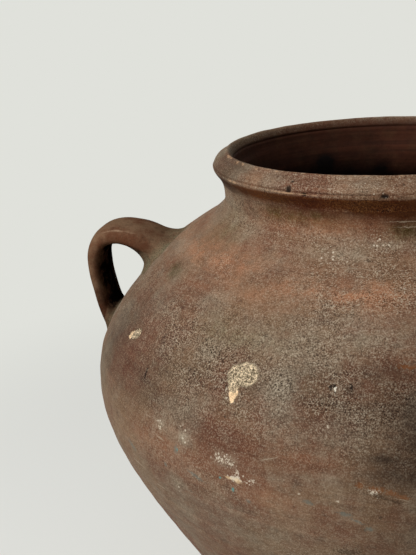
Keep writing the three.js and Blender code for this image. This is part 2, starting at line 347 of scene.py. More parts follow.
def wiped(tree, place, skin):
    """Bands round the jar, left by a wet hand on the turning wheel. Gives the skin and the broad bands."""
    patterns = []
    for length, height, detail, darkest, palest in WIPING:
        links = {"Vector": place, "Scale": (1 / length, 1 / length, 1 / height)}
        drawn_out = add(tree, "ShaderNodeMapping", links)
        links = {"Vector": drawn_out, "Scale": 1.0, "Detail": detail, "Roughness": 0.6}
        pattern = add(tree, "ShaderNodeTexNoise", links)
        tone = add(tree, "ShaderNodeMapRange", {0: pattern, **span(*COMMON_NOISE, darkest, palest)})
        skin = add(tree, "ShaderNodeVectorMath", {0: skin, "Scale": tone}, operation="SCALE")
        patterns.append(pattern)
    return skin, patterns[0]


# Sand in the clay is 0.6 to 1.3 mm across. Finer grit is too fine to show, so it is drawn as coarse as that
GRIT_SIZE = 0.0009
COARSE_GRIT_SIZE = 0.0026
COARSE_GRIT_SHARE = 0.2
GRIT_EVERYWHERE = 0.28
GRIT_ON_RED = span(0.0, 1.0, 1.0, 0.55)
GRIT_COVER = 0.9
WEAR_SIZE = 0.018
WEAR = span(0.36, 0.64, 0.30, 1.30)
PALE_GRIT = "#b3a58f"
DARK_GRIT = "#2a1e16"
# Colour, and the shades of the pattern at which a grain starts and is full
GRAINS = ((PALE_GRIT, 0.52, 0.60), (DARK_GRIT, 0.49, 0.39))


def grit_patterns(tree, place):
    """How worn the skin is, how much grit lies bare on it, and the fine, coarse and mixed grains."""
    links = {"Vector": place, "W": 12.0, "Scale": 1 / WEAR_SIZE, "Detail": 6.0, "Roughness": 0.65}
    patchy = add(tree, "ShaderNodeTexNoise", links, noise_dimensions="4D")
    worn = add(tree, "ShaderNodeMapRange", {0: patchy, **WEAR})
    whole = add(tree, "ShaderNodeAttribute", out="Fac", attribute_name="red")
    whole = add(tree, "ShaderNodeMapRange", {0: whole, **GRIT_ON_RED})
    worn = add(tree, "ShaderNodeMath", {0: worn, 1: whole}, operation="MULTIPLY")
    spots = add(tree, "ShaderNodeAttribute", out="Fac", attribute_name="grit")
    amount = add(tree, "ShaderNodeMath", {0: spots, 1: worn, 2: GRIT_EVERYWHERE}, operation="MULTIPLY_ADD")
    links = {"Vector": place, "Scale": 1 / GRIT_SIZE, "Detail": 2.0, "Roughness": 0.8}
    fine = add(tree, "ShaderNodeTexNoise", links)
    links = {"Vector": place, "W": 3.0, "Scale": 1 / COARSE_GRIT_SIZE, "Detail": 2.0, "Roughness": 0.6}
    coarse = add(tree, "ShaderNodeTexNoise", links, noise_dimensions="4D")
    grains = add(tree, "ShaderNodeMix", {0: COARSE_GRIT_SHARE, 2: fine, 3: coarse}, data_type="FLOAT")
    return patchy, amount, fine, coarse, grains


def gritty(tree, skin, amount, grains):
    """Pale and dark grains, thick where the skin of the clay has worn away."""
    for colour, start, full in GRAINS:
        grain = add(tree, "ShaderNodeMapRange", {0: grains, **span(start, full, 0.0, GRIT_COVER)})
        cover = add(tree, "ShaderNodeMath", {0: grain, 1: amount}, operation="MULTIPLY", use_clamp=True)
        skin = add(tree, "ShaderNodeMix", {0: cover, 6: skin, 7: linear(colour)}, out=2, data_type="RGBA")
    return skin


PIT_SPACING = 0.011
PIT_EDGE = span(0.09, 0.03, 0.0, 0.7)
PIT_CHANCE = span(0.60, 0.75)


def pitted(tree, place, skin):
    """Small dark pits where grains fell out. Gives the skin and how far each place lies in a pit."""
    holes = add(tree, "ShaderNodeTexVoronoi", {"Vector": place, "Scale": 1 / PIT_SPACING}, out=None)
    pit = add(tree, "ShaderNodeMapRange", {0: holes["Distance"], **PIT_EDGE})
    some = add(tree, "ShaderNodeSeparateColor", {0: holes["Color"]})
    some = add(tree, "ShaderNodeMapRange", {0: some, **PIT_CHANCE})
    pit = add(tree, "ShaderNodeMath", {0: pit, 1: some}, operation="MULTIPLY")
    return add(tree, "ShaderNodeMix", {0: pit, 6: skin, 7: linear(DARK_GRIT)}, out=2, data_type="RGBA"), pit


LIME = "#d9ccb6"
FLECK_SPACING = 0.0017
FLECK_CHANCE = span(0.0, 0.4)
FLECK_RAGGED = -0.45
FLECK_GROWTH = -0.32
FLECK_EDGE = span(-0.10, -0.22, 0.0, 0.68)
FLECK_SHOWN = span(0.0, 1.0, 0.25, 1.0)
CRUST_COARSE = 1.2
CRUST_FINE = 1.4
CRUST_EDGE = span(2.12, 2.42, 0.0, 0.82)


def limed(tree, place, skin, fine, coarse):
    """Lime that water left behind: single flecks, and crusts where it is thick."""
    amount = add(tree, "ShaderNodeAttribute", out="Fac", attribute_name="lime")
    cells = add(tree, "ShaderNodeTexVoronoi", {"Vector": place, "Scale": 1 / FLECK_SPACING}, out=None)
    chance = add(tree, "ShaderNodeSeparateColor", {0: cells["Color"]})
    chance = add(tree, "ShaderNodeMath", {0: amount, 1: chance}, operation="SUBTRACT")
    chance = add(tree, "ShaderNodeMapRange", {0: chance, **FLECK_CHANCE})
    jagged = cells["Distance"]
    for pattern, share in ((fine, FLECK_RAGGED), (chance, FLECK_GROWTH)):
        jagged = add(tree, "ShaderNodeMath", {0: pattern, 1: share, 2: jagged}, operation="MULTIPLY_ADD")
    fleck = add(tree, "ShaderNodeMapRange", {0: jagged, **FLECK_EDGE})
    shown = add(tree, "ShaderNodeMapRange", {0: chance, **FLECK_SHOWN})
    fleck = add(tree, "ShaderNodeMath", {0: fleck, 1: shown}, operation="MULTIPLY")
    crust = amount
    for pattern, share in ((coarse, CRUST_COARSE), (fine, CRUST_FINE)):
        crust = add(tree, "ShaderNodeMath", {0: pattern, 1: share, 2: crust}, operation="MULTIPLY_ADD")
    crust = add(tree, "ShaderNodeMapRange", {0: crust, **CRUST_EDGE})
    white = add(tree, "ShaderNodeMath", {0: fleck, 1: crust}, operation="MAXIMUM")
    return add(tree, "ShaderNodeMix", {0: white, 6: skin, 7: linear(LIME)}, out=2, data_type="RGBA")


# Small marks on the skin: colour, most cover, then spots of azimuth, height, half width, half height and tilt
MARKS = (
    ("#66736c", 0.45, (
        (-20, 0.2412, 0.0014, 0.0014, 0), (-10.6, 0.2489, 0.003, 0.0014, 14),
        (-36.8, 0.2432, 0.0012, 0.0014, 0), (-5.3, 0.2452, 0.0034, 0.0012, 10),
        (-1.9, 0.2374, 0.002, 0.0014, 0), (-47.2, 0.2393, 0.005, 0.0018, 20),
        (-34, 0.2567, 0.0016, 0.0028, 0), (-29.9, 0.2453, 0.006, 0.001, 15),
        (-3.6, 0.2415, 0.003, 0.0008, 20),
    )),
    ("#57908a", 0.8, (
        (-25, 0.2504, 0.0007, 0.0008, 0), (-22.7, 0.2458, 0.0009, 0.0012, 0),
        (-33.8, 0.2575, 0.0006, 0.0008, 0),
    )),
    ("#7a4822", 0.5, (
        (-3.3, 0.2626, 0.002, 0.0018, 0), (-1, 0.2612, 0.0042, 0.0016, 6), (0.9, 0.2598, 0.004, 0.0014, 8),
        (2.6, 0.2578, 0.0036, 0.001, 10), (4.2, 0.3152, 0.006, 0.0012, 5),
    )),
    ("#33271c", 0.55, (
        (-4.3, 0.3574, 0.0022, 0.0012, 0), (-5.6, 0.305, 0.003, 0.003, 0), (-0.4, 0.245, 0.001, 0.001, 0),
        (-0.5, 0.2571, 0.004, 0.001, 12), (1.6, 0.2552, 0.0036, 0.0009, 6),
        (-5, 0.2182, 0.0072, 0.0026, 0),
    )),
    ("#1a110b", 0.92, (
        (-8.6, 0.3052, 0.0013, 0.0017, 0), (-5.3, 0.3058, 0.0009, 0.0019, 0),
        (-46.6, 0.2872, 0.0009, 0.0044, -16), (-8.2, 0.3059, 0.0007, 0.0013, 0),
    )),
    ("#e4dcc8", 0.85, ((-7.9, 0.3047, 0.0006, 0.0011, 8),)),
    ("#e2c49a", 0.55, ((-23.3, 0.2523, 0.0026, 0.0007, 0), (-21.8, 0.2521, 0.0024, 0.0014, 0))),
    ("#c6b8a2", 0.8, (
        (-11.9, 0.2533, 0.0006, 0.0006, 0), (-6.3, 0.2526, 0.0008, 0.0008, 0),
        (-8.4, 0.2883, 0.0008, 0.001, 0), (-26.9, 0.296, 0.0005, 0.0014, 0),
        (-26.3, 0.2922, 0.0008, 0.0007, 0),
    )),
    ("#a0907a", 0.65, (
        (2.8, 0.2563, 0.004, 0.0002, 10), (-6.8, 0.354, 0.011, 0.0003, 4), (-6, 0.359, 0.007, 0.0003, 8),
        (6, 0.3779, 0.011, 0.0003, 0), (7.5, 0.3745, 0.008, 0.0003, 0),
        (-16.8, 0.2692, 0.0055, 0.0004, -22), (-49.1, 0.3383, 0.004, 0.0003, -50),
        (-46.1, 0.2278, 0.0075, 0.0006, 0), (-40.1, 0.2205, 0.006, 0.0004, 0),
        (-37.9, 0.2591, 0.003, 0.0006, 10),
    )),
)
MARK_DEPTH = 0.012
MARK_RAGGED = 3.0
MARK_EDGE = (2.75, 2.10)
SHAKE = 0.0020
SHAKE_PATTERN = {"Scale": 1 / 0.0022, "Detail": 2.0}
FAR = 9.0


def shaken(tree, place, reach, pattern, dimensions):
    """Places moved about by a fine pattern, so that what is drawn by them has an uneven outline."""
    links = {"Vector": place, **pattern}
    drift = add(tree, "ShaderNodeTexNoise", links, out="Color", noise_dimensions=dimensions)
    links = {0: drift, 1: (reach, reach, reach), 2: place}
    return add(tree, "ShaderNodeVectorMath", links, operation="MULTIPLY_ADD")


def mark_distance(tree, place, azimuth, height, half_width, half_height, tilt):
    """How far the skin is from the middle of a mark on the wall, as an output where 1 is the mark's edge."""
    run = [np.interp(travel_at(height), travel, slope[:, axis]) for axis in (0, 1)]
    round_jar = Matrix.Rotation(math.radians(azimuth), 3, "Z")
    lean = Matrix.Rotation(math.atan2(run[0], run[1]), 3, "X")
    turn = (round_jar @ lean @ Matrix.Rotation(math.radians(tilt), 3, "Y")).to_euler()
    centre = round_jar @ Vector((0.0, -radius_at(height), height)) + Vector((SHAKE, SHAKE, SHAKE)) / 2
    size = (half_width, MARK_DEPTH, half_height)
    links = {"Vector": place, "Location": centre, "Rotation": turn, "Scale": size}
    local = add(tree, "ShaderNodeMapping", links, vector_type="TEXTURE")
    return add(tree, "ShaderNodeVectorMath", {0: local}, out="Value", operation="LENGTH")


def marked(tree, place, skin, fine):
    """Small marks and specks, with uneven outlines."""
    uneven_place = shaken(tree, place, SHAKE, SHAKE_PATTERN, "3D")
    for colour, most, spots in MARKS:
        nearest = FAR
        for spot in spots:
            links = {0: nearest, 1: mark_distance(tree, uneven_place, *spot)}
            nearest = add(tree, "ShaderNodeMath", links, operation="MINIMUM")
        ragged = add(tree, "ShaderNodeMath", {0: fine, 1: MARK_RAGGED, 2: nearest}, operation="MULTIPLY_ADD")
        cover = add(tree, "ShaderNodeMapRange", {0: ragged, **span(*MARK_EDGE, 0.0, most)})
        skin = add(tree, "ShaderNodeMix", {0: cover, 6: skin, 7: linear(colour)}, out=2, data_type="RGBA")
    return skin


RUB_SIZE = 0.005
# Clay on rubbed edges, and painted highlight on the rim's edge: colour, seed, detail, roughness, where it
# starts and is full, most cover
EDGE_RUB_AND_HIGHLIGHT = ("#ad8b6c", 13.0, 6.0, 0.72, 0.42, 0.56, 0.80)


def rubbed_and_highlighted(tree, place, skin, colour, seed, detail, roughness, start, full, most):
    """Edges rubbed through in ragged bits to the paler clay below the skin; where the edge mark is a painted
    highlight, the same pale colour stands for light.
    """
    edge = add(tree, "ShaderNodeAttribute", out="Fac", attribute_name="edge")
    links = {"Vector": place, "W": seed, "Scale": 1 / RUB_SIZE, "Detail": detail, "Roughness": roughness}
    ragged = add(tree, "ShaderNodeTexNoise", links, noise_dimensions="4D")
    ragged = add(tree, "ShaderNodeMath", {0: edge, 1: ragged}, operation="MULTIPLY")
    links = {0: ragged, **span(start, full, 0.0, most)}
    cover = add(tree, "ShaderNodeMapRange", links, interpolation_type="SMOOTHSTEP")
    return add(tree, "ShaderNodeMix", {0: cover, 6: skin, 7: linear(colour)}, out=2, data_type="RGBA")


# Flakes sprung off the wall: azimuth, height, half width, half height, depth, tilt, how much dark grit shows
FLAKES = (
    (-24.2, 0.3052, 0.0086, 0.0074, 0.0012, 0, 1.15),
    (-26.1, 0.3038, 0.0052, 0.0066, 0.0012, 0, 1.15),
    (-25.75, 0.2996, 0.004, 0.0046, 0.0012, 0, 0.8),
    (-25.3, 0.2956, 0.0028, 0.0038, 0.0012, -8, 0.12),
    (-25.22, 0.293, 0.0015, 0.0028, 0.001, -4, 0.12),
    (-57.2, 0.2998, 0.006, 0.0043, 0.001, -32, 1.5),
    (-58.6, 0.2976, 0.0036, 0.0032, 0.001, -32, 0.2),
)
FLAKE_SHAKE = 0.0028
FLAKE_SHAKE_PATTERN = {"W": 4.0, "Scale": 1 / 0.0019, "Detail": 4.0, "Roughness": 0.65}
FLAKE_RAGGED = 0.8
FLAKE_GRIT = (1.16, 1.00)
FLAKE_DARK_RING = span(1.60, 1.44, 1.0, 0.76)
FLAKE_BREAK = span(1.42, 1.36)
CHIP_GRAINS = span(0.58, 0.41)
CHIP_SPECKS = (0.35, 0.65)
CHIP_PALE = "#f0cca0"
CHIP_SAND = "#d8c3a2"
CHIP_GREY = "#564835"
FINE_SPECKS = (0.72, 1.30)
COARSE_SPECKS = (0.76, 1.18)


def flaked(tree, place, skin, fine, coarse, grains):
    """Flakes knocked off, down to clean pale clay with dark grit in it, inside a darker outline."""
    uneven_place = shaken(tree, place, FLAKE_SHAKE, FLAKE_SHAKE_PATTERN, "4D")
    nearest = FAR
    grey = 0.0
    for azimuth, height, half_width, half_height, _, tilt, share in FLAKES:
        away = mark_distance(tree, uneven_place, azimuth, height, half_width, half_height, tilt)
        nearest = add(tree, "ShaderNodeMath", {0: nearest, 1: away}, operation="MINIMUM")
        shown = add(tree, "ShaderNodeMapRange", {0: away, **span(*FLAKE_GRIT, 0.0, share)})
        grey = add(tree, "ShaderNodeMath", {0: grey, 1: shown}, operation="MAXIMUM")
    nearest = add(tree, "ShaderNodeMath", {0: fine, 1: FLAKE_RAGGED, 2: nearest}, operation="MULTIPLY_ADD")
    drawn_dark = add(tree, "ShaderNodeMapRange", {0: nearest, **FLAKE_DARK_RING})
    skin = add(tree, "ShaderNodeVectorMath", {0: skin, "Scale": drawn_dark}, operation="SCALE")
    broken = add(tree, "ShaderNodeMapRange", {0: nearest, **FLAKE_BREAK})
    links = {0: grey, 6: linear(CHIP_PALE), 7: linear(CHIP_SAND)}
    fresh = add(tree, "ShaderNodeMix", links, out=2, data_type="RGBA")
    for speck, tones in ((fine, FINE_SPECKS), (coarse, COARSE_SPECKS)):
        bright = add(tree, "ShaderNodeMapRange", {0: speck, **span(*CHIP_SPECKS, *tones)})
        fresh = add(tree, "ShaderNodeVectorMath", {0: fresh, "Scale": bright}, operation="SCALE")
    dark = add(tree, "ShaderNodeMapRange", {0: grains, **CHIP_GRAINS})
    dark = add(tree, "ShaderNodeMath", {0: dark, 1: grey}, operation="MULTIPLY")
    fresh = add(tree, "ShaderNodeMix", {0: dark, 6: fresh, 7: linear(CHIP_GREY)}, out=2, data_type="RGBA")
    return add(tree, "ShaderNodeMix", {0: broken, 6: skin, 7: fresh}, out=2, data_type="RGBA")


# Near black: smoke, with the painted shade deep inside the jar
INSIDE_SOOT_AND_SHADE = "#080302"
INSIDE_RED = "#3f2114"
INSIDE_PATCHES = (("#4a3220", 0.012, 33.0, 0.44, 0.66, 0.40), ("#2a130b", 0.007, 34.0, 0.46, 0.66, 0.40))
INSIDE_TONES = span(*COMMON_NOISE, 0.68, 1.34)
# How much less smoke and painted shade lie higher up inside, between two heights in metres
SMOKE_AND_SHADE_CLEAR = span(0.345, 0.402, -0.5, 0.4)


def smoked_inside(tree, place, skin, bands, patchy):
    """The inside, smoked dark over the red clay, with painted shade that darkens it further down, and painted
    light and shade from the smoke mark.
    """
    inside = add(tree, "ShaderNodeAttribute", out="Fac", attribute_name="inside")
    height = add(tree, "ShaderNodeSeparateXYZ", {0: place}, out="Z")
    bare = add(tree, "ShaderNodeMapRange", {0: height, **SMOKE_AND_SHADE_CLEAR})
    smoke_and_shade = add(tree, "ShaderNodeAttribute", out="Fac", attribute_name="smoke_and_shade")
    bare = add(tree, "ShaderNodeMath", {0: bare, 1: smoke_and_shade}, operation="SUBTRACT")
    bare = add(tree, "ShaderNodeMath", {0: patchy, 1: bare}, operation="ADD", use_clamp=True)
    tone = add(tree, "ShaderNodeMapRange", {0: bands, **INSIDE_TONES})
    red = mottled(tree, place, linear(INSIDE_RED), INSIDE_PATCHES)
    red = add(tree, "ShaderNodeVectorMath", {0: red, "Scale": tone}, operation="SCALE")
    smoked = add(tree, "ShaderNodeMix", {0: bare, 6: linear(INSIDE_SOOT_AND_SHADE), 7: red}, out=2, data_type="RGBA")
    return add(tree, "ShaderNodeMix", {0: inside, 6: skin, 7: smoked}, out=2, data_type="RGBA")


CLAY = "#775d46"
CLAY_PATCHES = (
    ("#6a412f", 0.060, 1.0, 0.42, 0.60, 0.80),
    ("#7f6f5c", 0.034, 2.0, 0.46, 0.63, 0.75),
    ("#826751", 0.020, 3.0, 0.50, 0.68, 0.60),
    ("#46342a", 0.013, 4.0, 0.54, 0.72, 0.55),
    ("#917c67", 0.007, 14.0, 0.50, 0.68, 0.45),
    ("#4c352a", 0.006, 15.0, 0.52, 0.70, 0.45),
)
UNDER_STAINS = (
    ("flush", "#a37253", 0.010, 5.0, 0.26, 0.75),
    ("red", "#5f3423", 0.014, 6.0, 0.30, 0.85),
    ("bloom", "#a1957f", 0.006, 7.0, 0.21, 0.60),
)
# Soot, with painted shade on the left and right sides of the belly and under the rim
OVER_STAINS = (("soot_and_shade", "#1f1610", 0.016, 8.0, 0.43, 0.63),)
# Umber: painted shade under the rim and in its groove, and faint warm darkening on the belly. Moss: a green
# tint
TINTS = (("umber_and_shade", "#a3774e", 0.030, 9.0, 0.55, 1.00), ("moss", "#a9b07c", 0.008, 10.0, 0.35, 1.00))
# Relief in metres: grit on smooth and on worn skin, wiping bands, worn patches and pits
GRIT_RELIEF = span(0.0, 1.0, 0.00006, 0.00045)
BAND_RELIEF = 0.0004
WEAR_RELIEF = 0.0012
PIT_RELIEF = -0.0004
CLAY_DULLNESS = span(*COMMON_NOISE, 0.64, 0.86)
CLAY_SHINE = 0.10


def fired_earthenware():
    """Coarse sandy clay, fired red and left unglazed: dull, mottled brown, with pale and dark grit."""
    clay, tree, place = new_skin("fired_earthenware")
    patchy, amount, fine, coarse, grains = grit_patterns(tree, place)
    skin = mottled(tree, place, linear(CLAY), CLAY_PATCHES)
    skin = stained(tree, place, skin, UNDER_STAINS)
    skin, bands = wiped(tree, place, skin)
    skin = gritty(tree, skin, amount, grains)
    skin = stained(tree, place, skin, OVER_STAINS)
    skin = stained(tree, place, skin, TINTS, "MULTIPLY")
    skin, pit = pitted(tree, place, skin)
    skin = limed(tree, place, skin, fine, coarse)
    skin = marked(tree, place, skin, fine)
    skin = rubbed_and_highlighted(tree, place, skin, *EDGE_RUB_AND_HIGHLIGHT)
    skin = flaked(tree, place, skin, fine, coarse, grains)
    skin = smoked_inside(tree, place, skin, bands, patchy)
    rough = add(tree, "ShaderNodeMapRange", {0: amount, **GRIT_RELIEF})
    relief = add(tree, "ShaderNodeMath", {0: grains, 1: rough}, operation="MULTIPLY")
    for pattern, depth in ((bands, BAND_RELIEF), (patchy, WEAR_RELIEF), (pit, PIT_RELIEF)):
        relief = add(tree, "ShaderNodeMath", {0: pattern, 1: depth, 2: relief}, operation="MULTIPLY_ADD")
    dullness = add(tree, "ShaderNodeMapRange", {0: grains, **CLAY_DULLNESS})
    surfaced(tree, skin, dullness, relief, CLAY_SHINE)
    return clay


fired_clay = fired_earthenware()
RIDGE = 0.004
BASE_JOINT = 0.008
BASE_EDGE_WEAR = 0.004
BASE_ROWS = 40
BASE_RUB_RADIUS = 0.091
BASE_RUB_REACH = 0.0056
BASE_RUB_FULL = 0.0016


def joint_ridge(height):
    """The middle of a joint between two sections, where the ridge of one stands in the other's groove."""
    return section_rows(beside(travel_at(height), -WALL / 2, RIDGE))


def outer_rows(gone):
    """Rows up the outside of the wall, which faces away from it."""
    return section_rows(beside(gone), beside(gone, 1.0) - beside(gone), OUTSIDE_RING_DEPTH)


def base_half_section():
    """From the middle of the underside, round the worn edge, over the ridge and back to the axis above."""
    shares = np.linspace(0.0, 1.0, BASE_ROWS)[:, None]
    rise = np.linspace(travel_at(BASE_EDGE_WEAR), travel_at(BASE_JOINT), 4)
    under = bend(shares, np.zeros(2), FOOT - np.array([BASE_EDGE_WEAR, 0.0]))
    worn = bend(shares[::4], under[-1], FOOT, beside(rise[0])[0])
    inner = beside(rise[-1], -WALL)[0]
    floor = bend(shares, inner, inner * UP)
    return np.vstack([
        section_rows(under[:-1]),
        section_rows(worn),
        outer_rows(rise)[1:],
        joint_ridge(BASE_JOINT),
        section_rows(floor, UP),
    ])


base = throw("base_disc", base_half_section(), fired_clay)
base_places = places_of(base)
mark(base, "edge", ramp(np.abs(from_axis(base_places) - BASE_RUB_RADIUS), BASE_RUB_REACH, BASE_RUB_FULL))
mark(base, "inside", (base_places[:, 2] > BASE_JOINT).astype(float))
settle(base, "base_disc")


# Lower wall
# The first thrown section, a cone of coarse red clay that opens from the base. It stands on the base's ridge
# and is wiped smooth outside with a wet hand.
LOWER_JOINT = 0.130
OUTER_STEP = 0.0016
INNER_STEP = 0.006
INSIDE_RING_DEPTH = 0.00035


def wall_half_section(low, high):
    """A section of wall between two joints: up the outside, over the ridge, down the inside to the groove."""
    start = travel_at(low)
    end = travel_at(high)
    outer = np.linspace(start, end, round((end - start) / OUTER_STEP) + 1)
    inner = np.linspace(end, start, round((end - start) / INNER_STEP) + 1)
    outside = outer_rows(outer)
    inside = section_rows(beside(inner, -WALL), beside(inner) - beside(inner, 1.0), INSIDE_RING_DEPTH)
    return np.vstack([outside, joint_ridge(high), inside, joint_ridge(low), outside[:1]])


def turn_from(places, azimuth):
    """How far round the jar places lie from an azimuth, in radians. Azimuth 0 faces -Y."""
    turn = np.arctan2(places[:, 0], -places[:, 1]) - math.radians(azimuth)
    return (turn + math.pi) % math.tau - math.pi


def spot_distance(places, azimuth, height, half_width, half_height):
    """How far each place is from a spot on the wall, where 1 is its edge."""
    across = turn_from(places, azimuth) * radius_at(height) / half_width
    rise = (travel_at(places[:, 2]) - travel_at(height)) / half_height
    return np.hypot(across, rise)


def fade(distance, reach):
    """What is left of 1 at a distance, where little is left past the reach."""
    return np.exp(-(distance / reach) ** 2)


def stain_cover(places, spots):
    """How much of a stain lies at each place, out of the spots that it was spilt on."""
    cover = np.zeros(len(places))
    for *spot, strength in spots:
        cover += strength * fade(spot_distance(places, *spot), 1.0)
    return cover


def buried(places):
    """How deep places lie under the jar's outer skin, measured level."""
    return radius_at(places[..., 2]) - from_axis(places)


def weather(piece, stains):
    """Keeps how much of each kind of stain lies at each vertex, and which of them are inside the jar."""
    places = places_of(piece)
    for name, spots in stains.items():
        mark(piece, name, stain_cover(places, spots))
    mark(piece, "inside", ramp(buried(places), 0.3 * WALL, 0.7 * WALL))


# The half width of a stain that runs all round the jar
ALL_ROUND = 9.0
# Stains by kind, as spots of azimuth, height, half width, half height and strength
LOWER_STAINS = {
    "grit": ((0, 0.02, ALL_ROUND, 0.03, 0.5),),
    "soot_and_shade": ((20, 0.11, 0.09, 0.05, 0.7), (170, 0.09, 0.1, 0.06, 0.8)),
}
lower_wall = throw("lower_wall", wall_half_section(BASE_JOINT, LOWER_JOINT), fired_clay)
weather(lower_wall, LOWER_STAINS)
settle(lower_wall, "lower_wall")


# Base corner coil
# A roll of the same clay laid in the inside corner of base and wall. A finger drawn round presses it in,
# which seals the joint, hollows the roll and leaves a row of shallow dents.
CORNER_COIL = 0.017
CORNER_ROWS = 14
CORNER_FACING = np.array([-0.7, 0.7])
CORNER_DENTS = 26
CORNER_DENT_DEPTH = 0.0005
COIL_EDGE = 0.0008
COIL_RING_DEPTH = INSIDE_RING_DEPTH / 2


def corner_half_section():
    """A wedge in the corner: along the floor, up the wall, and back down its hollow face."""
    corner = beside(travel_at(BASE_JOINT), -WALL)[0]
    high = beside(travel_at(BASE_JOINT), -WALL, CORNER_COIL)[0]
    low = corner - np.array([CORNER_COIL, 0.0])
    middle = corner + CORNER_COIL / 4 * np.array([-1.0, 1.0])
    face_top = high - np.array([COIL_EDGE, 0.0])
    face_foot = low + COIL_EDGE * UP
    face = bend(np.linspace(0.0, 1.0, CORNER_ROWS)[:, None], face_top, middle, face_foot)
    return np.vstack([
        section_rows(np.array([low, corner, high])),
        section_rows(face, CORNER_FACING, COIL_RING_DEPTH),
        section_rows(low[None]),
    ])


INNER_CLAY = "#1f120c"
INNER_PATCHES = (("#2e1a12", 0.020, 31.0, 0.45, 0.66, 0.8), ("#140b07", 0.012, 32.0, 0.50, 0.70, 0.7))
INNER_RELIEF = 0.0004
INNER_DULLNESS = 0.9
INNER_SHINE = 0.15


def wiped_inner_clay():
    """The same clay inside the jar, wiped by fingers and never rubbed: rough, dark and dull."""
    clay, tree, place = new_skin("wiped_inner_clay")
    skin = mottled(tree, place, linear(INNER_CLAY), INNER_PATCHES)
    links = {"Vector": place, "Scale": 1 / COARSE_GRIT_SIZE, "Detail": 4.0, "Roughness": 0.7}
    grains = add(tree, "ShaderNodeTexNoise", links)
    relief = add(tree, "ShaderNodeMath", {0: grains, 1: INNER_RELIEF}, operation="MULTIPLY")
    surfaced(tree, skin, INNER_DULLNESS, relief, INNER_SHINE)
    return clay


inner_clay = wiped_inner_clay()
corner_coil = throw("base_corner_coil", corner_half_section(), inner_clay, CORNER_DENTS, CORNER_DENT_DEPTH)
settle(corner_coil, "base_corner_coil")


# Middle wall
# The second thrown section, up to just under the widest point. It is set on the lower wall once that has
# stiffened, and the joint is wiped away outside.
UPPER_JOINT = 0.238
